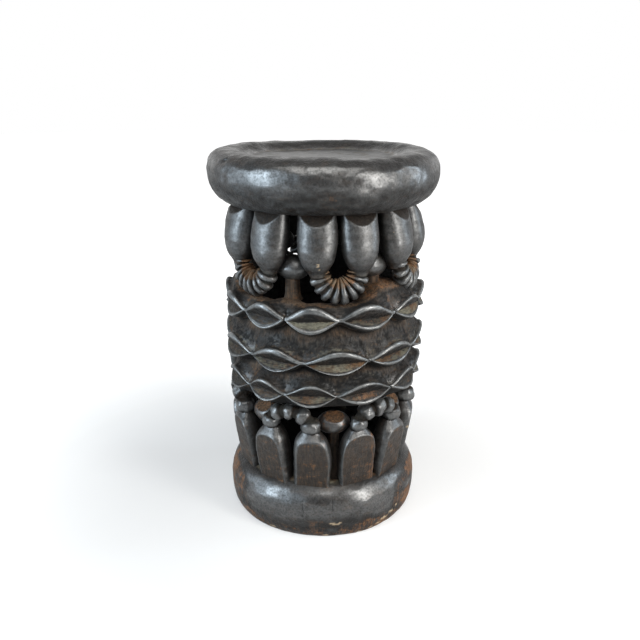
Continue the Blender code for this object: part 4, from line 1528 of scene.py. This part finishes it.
def limb_grid(member, ring, seed, ways):
    """A limb that hangs from the seat or stands on the foot, cut flat by the knife."""
    kind = LIMB_KINDS[ring]
    shares = np.linspace(kind.stations[0][0], kind.stations[0][-1], 84)
    widths, depths, bows = soft_stations(kind.stations, shares)
    tall = member.high - member.low
    log, right_swell = LOG_RADIUS, 0.0030
    if ring == "upper":
        heights = member.high - shares * tall
        log += right_swell * math.exp(-((member.turn - 0.235) / 0.04) ** 2)
    else:
        heights = member.low + shares * tall
    half_width = member.half_width * 1.045 * (1 + 0.03 * ways[0]) * widths
    half_depth = kind.depth / 2 * depths
    centre = log - kind.bow * bows - half_depth
    lean = 0.0018 * ways[1] * np.sin(np.pi * np.clip(shares, 0, 1)) + 0.0014 * ways[2] * shares
    columns = 80
    angles = np.arange(columns)[:, None] / columns * TURN + kind.yaw * ways[6]
    side = signed_power(np.sin(angles), kind.square)
    front = signed_power(np.cos(angles), kind.front_square)
    across = half_width * side + lean
    outwards = centre + half_depth * front - across * 0.10 * ways[7]
    heights = heights * np.ones_like(across)
    limit = facet_limit(member, ring, across, heights, log, ways)
    beyond = outwards - limit
    if ring == "upper":
        cut = np.minimum(outwards, limit)
    else:
        edge_softness, left_over = 0.0014, 0.10
        mix = rise(beyond, -edge_softness, edge_softness)
        cut = outwards * (1 - mix) + (limit + left_over * beyond) * mix
    cut = np.where(front > -0.2, cut, outwards)
    points = faced(across, cut, heights, member.turn)
    points = carved(points, False, settings().limbs.unevenness * 0.75, seed * 7)
    return LimbGrid(points, across, heights, shares, side, front, outwards - cut, beyond), log


def limb_skin(member, ring, seed):
    """The skin of a limb: painted shade behind and on an upper limb's top facet, waxed in front, raw
    or worn where the knife cut it.
    """
    kind = LIMB_KINDS[ring]
    ways = np.random.default_rng(seed).uniform(-1, 1, 8)
    grid, log = limb_grid(member, ring, seed, ways)
    points, shares, front = grid.points, grid.shares, grid.front
    masks = wear_masks(points, False, 2, 0.00026)
    back = rise(-front, -0.25, 0.35) * np.ones_like(grid.across)
    if ring == "upper":
        fading, facet_shine = 1 - 0.45 * rise(shares, 0.55, 0.95), 1
        facet = rise(grid.cut, 0.0002, 0.0009)
        masks["raw"] = facet * 0.5
        # Painted shade on the back and on the top facet under the seat.
        masks["deep"] = np.maximum(back, facet * 0.62)
        masks["rub"] = masks["rub"] * (1 - facet * 0.8)
    else:
        flat = rise(grid.cut, 0.0002, 0.0012)
        fading, facet_shine = 0.55 + 0.45 * rise(shares, 0.4, 0.8), 1 - 0.62 * flat
        rim = bell(grid.beyond + 0.0004, 0.0014) * (front > 0.1)
        right_side = rise(grid.side * front, 0.15, 0.45) * rise(grid.across, 0.0, member.half_width)
        masks["worn"] = flat * 0.31 + 0.08 * rise(1 - shares, 0.2, 1.0)
        lay(masks, "worn", right_side * (0.45 + 0.25 * ways[6]))
        # A paler rim round the flat front: rubbed, and painted as its highlight.
        lay(masks, "rub", rim * 0.42)
        masks["raw"] = np.maximum(back * 0.4, 0.28 * flat)
        # Painted shade on the back.
        masks["deep"] = back * 0.9
    masks["gloss"] = (1 - back) * kind.gloss * fading * facet_shine
    turns = np.arctan2(points[..., 0], -points[..., 1]) / TURN
    masks["chip"] = np.zeros_like(grid.across)
    for fleck in LIMB_FLECKS:
        spot = oval_mask(turns, grid.heights, log, fleck)
        ragged = rise(spot * (1 + 0.9 * lumps(points, 0.0020, seed)), 0.25, 0.60)
        lay(masks, "chip", ragged * 0.8)
    ends = rise(np.abs(shares - 0.5), 0.42, 0.53) * np.ones_like(grid.across)
    masks["dust"] = np.maximum(masks["dust"] * 0.6, ends * kind.end_dust)
    return Skin(points, masks, False)


def facet_limit(member, ring, across, heights, log, ways):
    """How far out the knife cut lets a limb reach: at its top above, all down its front below."""
    shape = settings().limbs
    twist = 0.10 * ways[3]
    if ring == "upper":
        slope = shape.upper_facet_slope + 0.10 * ways[4]
        start = log - shape.upper_facet_inset + 0.0012 * ways[5]
        hollow = 0.0016 * (1 - (across / member.half_width) ** 2)
        return start + (member.high - heights) * math.tan(slope) + across * twist - hollow
    slope = shape.lower_facet_slope + 0.03 * ways[4]
    start = log - shape.lower_facet_inset + 0.0010 * ways[5]
    return start + (heights - member.low) * math.tan(slope) + across * twist * 0.6


class STOOL_OT_make_limbs(bpy.types.Operator):
    """Carve the limbs of both rings"""

    bl_idname = "carved_stool.make_limbs"
    bl_label = "Make limbs"

    def execute(self, context):
        for ring, kind in LIMB_KINDS.items():
            for order, node in enumerate(nodes_named(ring + "_limb")):
                skin = limb_skin(member_sizes(node), ring, kind.first_seed + order)
                limb = mesh_object("carved_" + node, [skin], "limb_wood")
                stand_in(limb, "limb_wood", node)
        return {"FINISHED"}


# Knobs

# What sets the knobs of the two rings apart: how much the cut on top leaves, how worn and how
# shiny they are, and how much painted shade darkens their posts
KnobKind = namedtuple("KnobKind", "keep worn gloss post_shade first_seed")
KNOB_KINDS = {
    "upper": KnobKind(0.86, 0.02, 0.90, 0.25, 180),
    "lower": KnobKind(0.54, 0.48, 0.85, 0.80, 200),
}
# Half the size of a knob across, in and out, and up and down
KNOB_LENGTH, KNOB_DEPTH, KNOB_HEIGHT = 0.0228, 0.0155, 0.0162
KNOB_COLUMNS = 64


def knob_skin(member, kind, seed, radius, centre_z):
    """The grid of an oval knob with a slanting cut on top, and its masks."""
    shape = settings().knobs
    ways = np.random.default_rng(seed).uniform(-1, 1, 6)
    angles = np.arange(KNOB_COLUMNS)[:, None] / KNOB_COLUMNS * TURN
    latitudes = np.linspace(-1.45, 1.45, 44)[None, :]
    side = np.sin(angles)
    front = np.cos(angles) * np.abs(np.cos(angles)) ** 0.15
    across = KNOB_LENGTH * (1 + 0.10 * ways[2] * side) * side * np.cos(latitudes)
    outwards = radius + KNOB_DEPTH * front * np.cos(latitudes)
    heights = centre_z + KNOB_HEIGHT * signed_power(np.sin(latitudes), 1.15) * np.ones_like(across)
    slope = shape.facet_slope + 0.12 * ways[0]
    normal = (math.cos(slope), math.sin(slope))
    reach = KNOB_DEPTH * normal[0] + KNOB_HEIGHT * normal[1]
    beyond = (outwards - radius) * normal[0] + (heights - centre_z) * normal[1] - reach * kind.keep
    cut = np.maximum(beyond + across * 0.06 * ways[1], 0)
    outwards = outwards - cut * normal[0]
    heights = heights - cut * normal[1]
    points = carved(faced(across, outwards, heights, member.turn), False, shape.unevenness, seed)
    masks = wear_masks(points, False, 3, 0.00045)
    masks["raw"] = rise(cut, 0.0001, 0.0008)
    masks["dust"] = np.maximum(masks["dust"] * 0.5, masks["raw"] * 0.15)
    masks["worn"] = kind.worn + masks["raw"] * 0.18
    # Painted shade on the knob's back.
    masks["deep"] = rise(-front, 0.2, 0.8) * np.ones_like(across)
    masks["gloss"] = kind.gloss
    return Skin(points, masks, False)


def post_skin(member, kind, seed, radius, centre_z):
    """The grid of the roughly squared post that carries a knob, and its masks."""
    shape = settings().knobs
    sunk = 0.004
    angles = np.arange(KNOB_COLUMNS)[:, None] / KNOB_COLUMNS * TURN
    steps = np.linspace(0, 1, 40)[None, :]
    flare = 1 + 0.5 * np.exp(-steps / 0.12) + 0.15 * np.exp(-(1 - steps) / 0.10)
    half = shape.post_width / 2 * flare * (1 - 0.08 * np.abs(np.cos(angles * 2)) ** 2)
    across = half * np.sin(angles)
    foot_z = member.low - sunk
    heights = (foot_z + (centre_z - foot_z) * steps) * np.ones_like(across)
    points = faced(across, radius + half * np.cos(angles), heights, member.turn)
    points = carved(points, False, shape.unevenness * 1.2, seed + 3)
    masks = wear_masks(points, False, 3, 0.00045)
    masks["raw"], masks["worn"] = 0.95, 0.42
    # Painted shade behind the post, and over all of it by the ring's post shade.
    behind = rise(-np.cos(angles), 0.0, 0.7)
    masks["deep"] = np.maximum(behind, kind.post_shade) * np.ones_like(across)
    return Skin(points, masks, False)


class STOOL_OT_make_knobs(bpy.types.Operator):
    """Carve the oval knobs and their posts"""

    bl_idname = "carved_stool.make_knobs"
    bl_label = "Make knobs"

    def execute(self, context):
        further_out, higher = 0.0012, 0.0013
        for ring, kind in KNOB_KINDS.items():
            for order, node in enumerate(nodes_named(ring + "_knob")):
                member = member_sizes(node)
                radius = member.outer - KNOB_DEPTH + further_out
                centre_z = member.high - KNOB_HEIGHT + higher
                place = (member, kind, kind.first_seed + order, radius, centre_z)
                skins = [knob_skin(*place), post_skin(*place)]
                knob = mesh_object("carved_" + node, skins, "knob_wood")
                stand_in(knob, "knob_wood", node)
        return {"FINISHED"}


# Links and arches

CHAIN_INPUTS = {
    "NodeSocketInt": ("Beads", "Seed"),
    "NodeSocketVector": ("Middle",),
    "NodeSocketMaterial": ("Finish",),
    "NodeSocketFloat": (
        "Bead radius", "Bead length", "End size", "Squareness", "Wedge", "Inward reach",
        "Size spread", "Core radius", "Lump depth", "Lump size", "Dusty reach",
    ),
}


def chain_tree():
    """The node tree that strings beads along a path, on a core that joins them."""
    found = bpy.data.node_groups.get("Beads along a path")
    if found:
        return found
    tree = bpy.data.node_groups.new("Beads along a path", "GeometryNodeTree")
    tree.interface.new_socket("Path", in_out="INPUT", socket_type="NodeSocketGeometry")
    for kind, labels in CHAIN_INPUTS.items():
        for label in labels:
            tree.interface.new_socket(label, in_out="INPUT", socket_type=kind)
    tree.interface.new_socket("Chain", in_out="OUTPUT", socket_type="NodeSocketGeometry")
    bench = Bench(tree)
    enter = bench.add("NodeGroupInput").outputs
    path = bench.out("GeometryNodeMeshToCurve", {"Mesh": enter["Path"]})
    place = bench.out("GeometryNodeInputPosition")
    joined = bench.add("GeometryNodeJoinGeometry")
    for part in (beads_along(bench, enter, path, place), core_along(bench, enter, path)):
        tree.links.new(part, joined.inputs[0])
    lumpy = roughened(bench, enter, joined.outputs[0], place)
    painted = seam_masks(bench, enter, lumpy, place)
    smooth = bench.out("GeometryNodeSetShadeSmooth", {"Geometry": painted})
    plain = bench.out("GeometryNodeRealizeInstances", {0: smooth})
    finished = bench.out("GeometryNodeSetMaterial", {"Geometry": plain, "Material": enter["Finish"]})
    bench.add("NodeGroupOutput", {0: finished})
    return tree


def bead_shape(bench, enter, place):
    """One bead: a ball that is squared off, reaches inwards and widens outwards like a wedge."""
    ball = bench.add("GeometryNodeMeshUVSphere", {"Segments": 32, "Rings": 20, "Radius": 1.0})
    axes = bench.add("ShaderNodeSeparateXYZ", {0: place}).outputs
    off_middle = bench.sum("ABSOLUTE", axes["Z"])
    seam = bench.store(ball.outputs["Mesh"], "seam", off_middle)
    power = enter["Squareness"]
    thinnest = 0.0004
    left_over = bench.less(1.0, bench.sum("POWER", off_middle, power))
    wide = bench.sum("POWER", bench.most(left_over, 0.0), bench.sum("DIVIDE", 1.0, power))
    thin = bench.less(1.0, bench.times(off_middle, off_middle))
    thin = bench.sum("SQRT", bench.most(thin, thinnest))
    swell = bench.sum("DIVIDE", wide, thin)
    reach = enter["Inward reach"]
    out = bench.times(axes["X"], swell)
    out = bench.times(out, bench.plus(1.0, reach, 0.5))
    out = bench.less(out, bench.times(reach, 0.5))
    fan = bench.plus(1.0, out, enter["Wedge"])
    thick = bench.times(axes["Z"], enter["Bead length"], fan)
    shaped = bench.out("ShaderNodeCombineXYZ", {
        "X": out, "Y": bench.times(axes["Y"], swell), "Z": thick,
    })
    return bench.out("GeometryNodeSetPosition", {"Geometry": seam, "Position": shaped})


def bead_sizes(bench, enter):
    """The size of each bead, full in the middle of the path and uneven throughout."""
    number = bench.out("GeometryNodeInputIndex")
    along = bench.sum("DIVIDE", number, bench.less(enter["Beads"], 1.0))
    fullness = bench.sum("SINE", bench.times(along, math.pi))
    full_share = bench.sum("POWER", bench.most(fullness, 0.0001), 0.7)
    spread = bench.add(
        "FunctionNodeRandomValue",
        {"Min": bench.less(1.0, enter["Size spread"]),
         "Max": bench.plus(1.0, enter["Size spread"]), "Seed": enter["Seed"]},
        data_type="FLOAT",
    )
    size = bench.level(full_share, enter["End size"], 1.0)
    return bench.times(size, spread.outputs[1], enter["Bead radius"])


def beads_along(bench, enter, path, place):
    """The beads in their places, each facing away from the middle."""
    spots = bench.add(
        "GeometryNodeCurveToPoints", {"Curve": path, "Count": enter["Beads"]}, mode="COUNT"
    )
    along_path = bench.out(
        "FunctionNodeAlignRotationToVector", {"Vector": spots.outputs["Tangent"]}, axis="Z",
    )
    outward = bench.vector("SUBTRACT", place, enter["Middle"])[0]
    facing = bench.out(
        "FunctionNodeAlignRotationToVector", {"Rotation": along_path, "Vector": outward},
        axis="X", pivot_axis="Z",
    )
    beads = bench.out("GeometryNodeInstanceOnPoints", {
        "Points": spots.outputs["Points"], "Instance": bead_shape(bench, enter, place),
        "Rotation": facing, "Scale": bead_sizes(bench, enter),
    })
    return bench.out("GeometryNodeRealizeInstances", {0: beads})


def core_along(bench, enter, path):
    """The core that joins the beads."""
    circle = bench.out("GeometryNodeCurvePrimitiveCircle", {
        "Resolution": 20, "Radius": enter["Core radius"],
    })
    core = bench.out("GeometryNodeCurveToMesh", {
        "Curve": path, "Profile Curve": circle, "Fill Caps": True,
    })
    return bench.store(core, "seam", 1.0)


def roughened(bench, enter, geometry, place):
    """A chain whose surface is lumpy, as a knife leaves it."""
    lump = bench.add("ShaderNodeTexNoise", {
        "Vector": place, "Scale": bench.sum("DIVIDE", 1.0, enter["Lump size"]), "Detail": 3.0,
    })
    lift = bench.times(bench.less(lump.outputs["Fac"], 0.5), enter["Lump depth"], 2.0)
    normal = bench.out("GeometryNodeInputNormal")
    offset = bench.out("ShaderNodeVectorMath", {0: normal, "Scale": lift}, operation="SCALE")
    return bench.out("GeometryNodeSetPosition", {"Geometry": geometry, "Offset": offset})


def seam_masks(bench, enter, geometry, place):
    """A chain with its masks: dust and painted shade in the seams, rubbed crowns with a painted
    highlight, a worn inner side.
    """
    away = bench.vector("DISTANCE", place, enter["Middle"])["Value"]
    reach = enter["Dusty reach"]
    inner = bench.step(away, bench.times(reach, 0.75), bench.times(reach, 1.25), 1.0, 0.0)
    seam = bench.out("GeometryNodeInputNamedAttribute", {"Name": "seam"}, data_type="FLOAT")
    in_seam = bench.step(seam, 0.55, 0.95)
    dust = bench.most(bench.times(in_seam, 0.40), bench.times(inner, 0.36))
    # Crowns rubbed paler, which also paints their highlight.
    crown = bench.step(seam, 0.25, 0.85, 1.0, 0.0)
    rub = bench.times(crown, bench.less(1.0, inner))
    bare = bench.most(bench.times(inner, 0.95), bench.times(in_seam, 0.40))
    # Painted shade in the seams between the beads.
    painted_shade_and_soot = bench.times(in_seam, bench.plus(0.85, inner, -0.8))
    masks = (("dust", dust), ("rub", rub), ("worn", bare), ("gloss", rub), ("deep", painted_shade_and_soot))
    for mask, value in masks:
        geometry = bench.store(geometry, mask, value)
    return geometry


def set_inputs(modifier, values):
    """Fill a node modifier's inputs by the identifiers of their sockets."""
    for item in modifier.node_group.interface.items_tree:
        if item.item_type == "SOCKET" and item.in_out == "INPUT" and item.name in values:
            modifier[item.identifier] = values[item.name]


def string_chain(name, path, values):
    """Run the chain's node tree on a path and keep the result as a plain mesh."""
    line = bpy.data.meshes.new(name + "_path")
    steps = [(i, i + 1) for i in range(len(path) - 1)]
    line.from_pydata([tuple(point) for point in path], steps, [])
    chain = bpy.data.objects.new(name, line)
    bpy.context.scene.collection.objects.link(chain)
    modifier = chain.modifiers.new("Beads", "NODES")
    modifier.node_group = chain_tree()
    set_inputs(modifier, values)
    bpy.context.view_layer.update()
    evaluated = chain.evaluated_get(bpy.context.evaluated_depsgraph_get())
    mesh = bpy.data.meshes.new_from_object(evaluated)
    chain.modifiers.remove(modifier)
    chain.data = mesh
    if not mesh.polygons:
        raise RuntimeError(f"{name} came out empty")
    return chain


def loop_path(low_turn, high_turn, radius, start_z, end_z):
    """Points of a half loop between two necks, bulging from start_z towards end_z."""
    angles = np.linspace(0, math.pi, 41)
    middle, half = (low_turn + high_turn) / 2, (high_turn - low_turn) / 2
    turns = middle - half * np.cos(angles)
    heights = start_z + (end_z - start_z) * np.sin(angles)
    return on_stool(turns, radius, heights)


# What the node tree takes for the ribs of the links and for the beads of the arches
RIB_VALUES = {
    "Bead length": 0.42, "End size": 0.78, "Squareness": 2.4, "Wedge": 0.42, "Inward reach": 0.65,
    "Size spread": 0.10, "Dusty reach": 0.0225, "Lump size": 0.010,
}
BEAD_VALUES = {
    "Bead length": 0.78, "End size": 1.12, "Squareness": 2.8, "Wedge": 0.16, "Inward reach": 0.0,
    "Size spread": 0.14, "Dusty reach": 0.0115, "Lump size": 0.010,
}


class STOOL_OT_make_links(bpy.types.Operator):
    """String the ribbed links and the beaded arches with Geometry Nodes"""

    bl_idname = "carved_stool.make_links"
    bl_label = "Make links and arches"

    def execute(self, context):
        for order, node in enumerate(nodes_named("upper_link")):
            self.string(node, order, *self.link(node, order))
        for order, node in enumerate(nodes_named("lower_arch")):
            self.string(node, order, *self.arch(node, order))
        return {"FINISHED"}

    def string(self, node, order, path, middle, values):
        """Make the piece of one link or arch and put it in its node's place."""
        values.update({"Seed": order, "Middle": Vector(middle), "Finish": wood_finish("link_wood")})
        chain = string_chain("carved_" + node, path, values)
        stand_in(chain, "link_wood", node)

    def ends(self, ring, order):
        """The turns of the two limbs that a link or arch joins."""
        pair = nodes_named(ring + "_limb")[2 * order:2 * order + 2]
        first, second = (node_turn(limb) for limb in pair)
        return first, second + 1 if second < first else second

    def link(self, node, order):
        """Path, middle and values of a ribbed link, which hangs under a pair of limbs."""
        shape = settings().links
        tube = shape.link_radius
        radius, further_out, above_box = 0.1128, 0.0060, 0.002
        if order == 2:
            radius += further_out
        low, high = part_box(node)
        path = loop_path(*self.ends("upper", order), radius, high.z + above_box, low.z + tube * 0.80)
        values = RIB_VALUES | {
            "Beads": shape.link_ribs, "Bead radius": tube, "Core radius": tube * 0.62,
            "Lump depth": shape.lump_depth,
        }
        middle = path.mean(axis=0)
        middle[2] = path[0][2]
        return path, middle, values

    def arch(self, node, order):
        """Path, middle and values of a beaded arch, which stands over a pair of limbs."""
        shape = settings().links
        tube = shape.arch_radius
        radius, above_box, sunk_middle = 0.1165, 0.0125, 0.006
        low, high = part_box(node)
        path = loop_path(*self.ends("lower", order), radius, low.z + above_box, high.z - tube * 0.62)
        values = BEAD_VALUES | {
            "Beads": shape.arch_beads, "Bead radius": tube * 0.86, "Core radius": tube * 0.58,
            "Lump depth": shape.lump_depth * 1.5,
        }
        middle = path.mean(axis=0)
        middle[2] = path[0][2] - sunk_middle
        return path, middle, values


# Stage

# Each lamp with its angle round the stool in degrees, where 0 is the camera's side and plus is to
# the right, its distance, its width and height, the setting that holds its power, its share of
# that, its tint, its tilt in degrees and its height; one without a height stands on the floor
Lamp = namedtuple("Lamp", "name azimuth distance size power share tint tilt height")
LAMPS = (
    Lamp("Left window", -60, 1.9, (0.60, 2.0), "left_lamp", 1.0, "cool", 0, None),
    Lamp("Left wall", -68, 2.2, (2.90, 1.9), "wall_lamps", 1.0, "cool", 0, None),
    Lamp("Right window", 50, 1.9, (0.60, 2.0), "right_lamp", 1.0, "plain", 0, None),
    Lamp("Right wall", 70, 2.2, (2.00, 1.9), "wall_lamps", 0.45, "plain", 0, None),
    Lamp("Side window", 94, 2.0, (0.36, 1.7), "side_lamp", 1.0, "cool", 0, None),
    Lamp("Back window", 180, 2.6, (1.60, 1.6), "back_lamp", 1.0, "plain", 0, None),
    Lamp("Front box", 0, 1.9, (1.30, 0.8), "top_lamp", 0.85, "plain", 43, 2.1),
    Lamp("Top box", 0, 0.55, (1.40, 1.0), "top_lamp", 1.0, "plain", 70, 2.0),
)


def light_up(lamp):
    """Hang or stand one lamp so that it faces the stool."""
    stage = settings().stage
    light = bpy.data.lights.new(lamp.name, "AREA")
    light.shape = "RECTANGLE"
    light.size, light.size_y = lamp.size
    light.energy = getattr(stage, lamp.power) * lamp.share
    light.color = getattr(stage, lamp.tint)
    holder = bpy.data.objects.new(lamp.name, light)
    angle = math.radians(lamp.azimuth)
    height = lamp.size[1] / 2 + 0.03 if lamp.height is None else lamp.height
    holder.location = (lamp.distance * math.sin(angle), -lamp.distance * math.cos(angle), height)
    holder.rotation_euler = (math.pi / 2 - math.radians(lamp.tilt), 0, angle)
    bpy.context.scene.collection.objects.link(holder)


def stage_camera():
    """The camera of the photograph, a little off the middle of its picture."""
    stage = settings().stage
    scene = bpy.context.scene
    camera = bpy.data.cameras.new("Camera")
    camera.lens = stage.lens
    camera.sensor_width = 36.0
    camera.shift_x = -2.5 / 640
    holder = bpy.data.objects.new("Camera", camera)
    holder.location = (0, -stage.camera_distance, stage.camera_height)
    holder.rotation_euler = (math.pi / 2 - stage.camera_tilt, 0, 0)
    scene.collection.objects.link(holder)
    scene.camera = holder


def seen_share(bench):
    """1 for rays from the camera and glass, less for gloss, and 0 for the light it gives."""
    rays = bench.add("ShaderNodeLightPath").outputs
    seen = bench.most(rays["Is Camera Ray"], rays["Is Transmission Ray"])
    return bench.most(seen, bench.times(rays["Is Glossy Ray"], 0.22))


def make_world(fill):
    """A white surround for the camera; gloss shows a pale backdrop and a dim room before it."""
    world = bpy.data.worlds.new("Soft surround")
    bpy.context.scene.world = world
    world.use_nodes = True
    world.node_tree.nodes.clear()
    bench = Bench(world.node_tree)
    rays = bench.add("ShaderNodeLightPath").outputs
    aim = bench.add("ShaderNodeTexCoord").outputs["Generated"]
    back = bench.add("ShaderNodeSeparateXYZ", {0: aim}).outputs["Y"]
    backdrop = bench.step(back, 0.0, 1.0, 0.08, 0.80)
    strength = bench.level(rays["Is Glossy Ray"], fill, backdrop)
    plain = bench.most(rays["Is Camera Ray"], rays["Is Transmission Ray"])
    strength = bench.level(plain, strength, 1.0)
    glow = bench.add("ShaderNodeBackground", {"Color": (1, 1, 1, 1), "Strength": strength})
    bench.add("ShaderNodeOutputWorld", {"Surface": glow.outputs[0]})


def floor_finish():
    """Plain pale floor that turns white away from the stool, keeps the stool's shadow and glows less
    at its left as a painted shadow.
    """
    material = bpy.data.materials.new("pale_floor")
    material.use_nodes = True
    material.node_tree.nodes.clear()
    bench = Bench(material.node_tree)
    where = bench.add("ShaderNodeTexCoord").outputs["Object"]
    reach = bench.add("ShaderNodeVectorMath", {0: where}, operation="LENGTH").outputs["Value"]
    speckle = bench.noise(where, 2.0, 0.5, 9.0)
    tone = bench.tint(speckle, (0.50, 0.495, 0.49), (0.52, 0.515, 0.51))
    paint = bench.add("ShaderNodeBsdfPrincipled", {
        "Base Color": tone, "Roughness": 0.9, "Specular IOR Level": 0.2,
    })
    # Near the stool the floor glows less to its left than to its right: a painted shadow.
    side = bench.add("ShaderNodeSeparateXYZ", {0: where}).outputs["X"]
    near = bench.step(side, -0.32, 0.16, 0.28, 0.51)
    strength = bench.level(bench.step(reach, 0.18, 0.95, 0.0, 1.0), near, 1.0)
    strength = bench.times(strength, seen_share(bench))
    glow = bench.add("ShaderNodeEmission", {"Color": (1, 1, 1, 1), "Strength": strength})
    both = bench.add("ShaderNodeAddShader", {0: paint.outputs[0], 1: glow.outputs[0]})
    bench.add("ShaderNodeOutputMaterial", {"Surface": both.outputs[0]})
    return material


class STOOL_OT_make_stage(bpy.types.Operator):
    """Set up the floor, the lamps and the camera"""

    bl_idname = "carved_stool.make_stage"
    bl_label = "Make stage"

    def execute(self, context):
        scene = context.scene
        scene.view_settings.view_transform = "Standard"
        stage_camera()
        for lamp in LAMPS:
            light_up(lamp)
        make_world(settings().stage.fill)
        corners, radius = 64, 7
        angles = [i / corners * TURN for i in range(corners)]
        ring = [(radius * math.cos(angle), radius * math.sin(angle), 0) for angle in angles]
        mesh = bpy.data.meshes.new("floor")
        mesh.from_pydata(ring, [], [tuple(range(corners))])
        mesh.materials.append(floor_finish())
        floor = bpy.data.objects.new("floor", mesh)
        scene.collection.objects.link(floor)
        return {"FINISHED"}


# Panel and registration

class STOOL_PT_panel(bpy.types.Panel):
    """Settings and steps of the carved stool"""

    bl_idname = "STOOL_PT_panel"
    bl_label = "Carved Stool"
    bl_space_type = "VIEW_3D"
    bl_region_type = "UI"
    bl_category = "Carved Stool"

    def draw(self, context):
        layout = self.layout
        stool = context.scene.carved_stool
        for part in ("wood", "seat", "foot", "drum", "limbs", "links", "knobs", "stage"):
            box = layout.box()
            box.label(text=part.capitalize())
            group = getattr(stool, part)
            for name in group.__annotations__:
                box.prop(group, name)
        for step in STEPS:
            layout.operator(step.bl_idname)


STEPS = (
    STOOL_OT_make_stage,
    STOOL_OT_make_seat,
    STOOL_OT_make_foot,
    STOOL_OT_make_drum,
    STOOL_OT_make_limbs,
    STOOL_OT_make_knobs,
    STOOL_OT_make_links,
)
CLASSES = (
    WoodSettings, SeatSettings, FootSettings, DrumSettings, LimbSettings, LinkSettings,
    KnobSettings, StageSettings, StoolSettings, *STEPS, STOOL_PT_panel,
)


def register():
    """Register the classes and the settings."""
    for item in CLASSES:
        bpy.utils.register_class(item)
    bpy.types.Scene.carved_stool = PointerProperty(type=StoolSettings)


def unregister():
    """Take the settings and the classes out again."""
    del bpy.types.Scene.carved_stool
    for item in reversed(CLASSES):
        bpy.utils.unregister_class(item)


def main():
    """Build the whole stool and its stage."""
    register()
    bpy.ops.carved_stool.make_stage()
    bpy.ops.carved_stool.make_seat()
    bpy.ops.carved_stool.make_foot()
    bpy.ops.carved_stool.make_drum()
    bpy.ops.carved_stool.make_limbs()
    bpy.ops.carved_stool.make_knobs()
    bpy.ops.carved_stool.make_links()


if __name__ == "__main__":
    main()
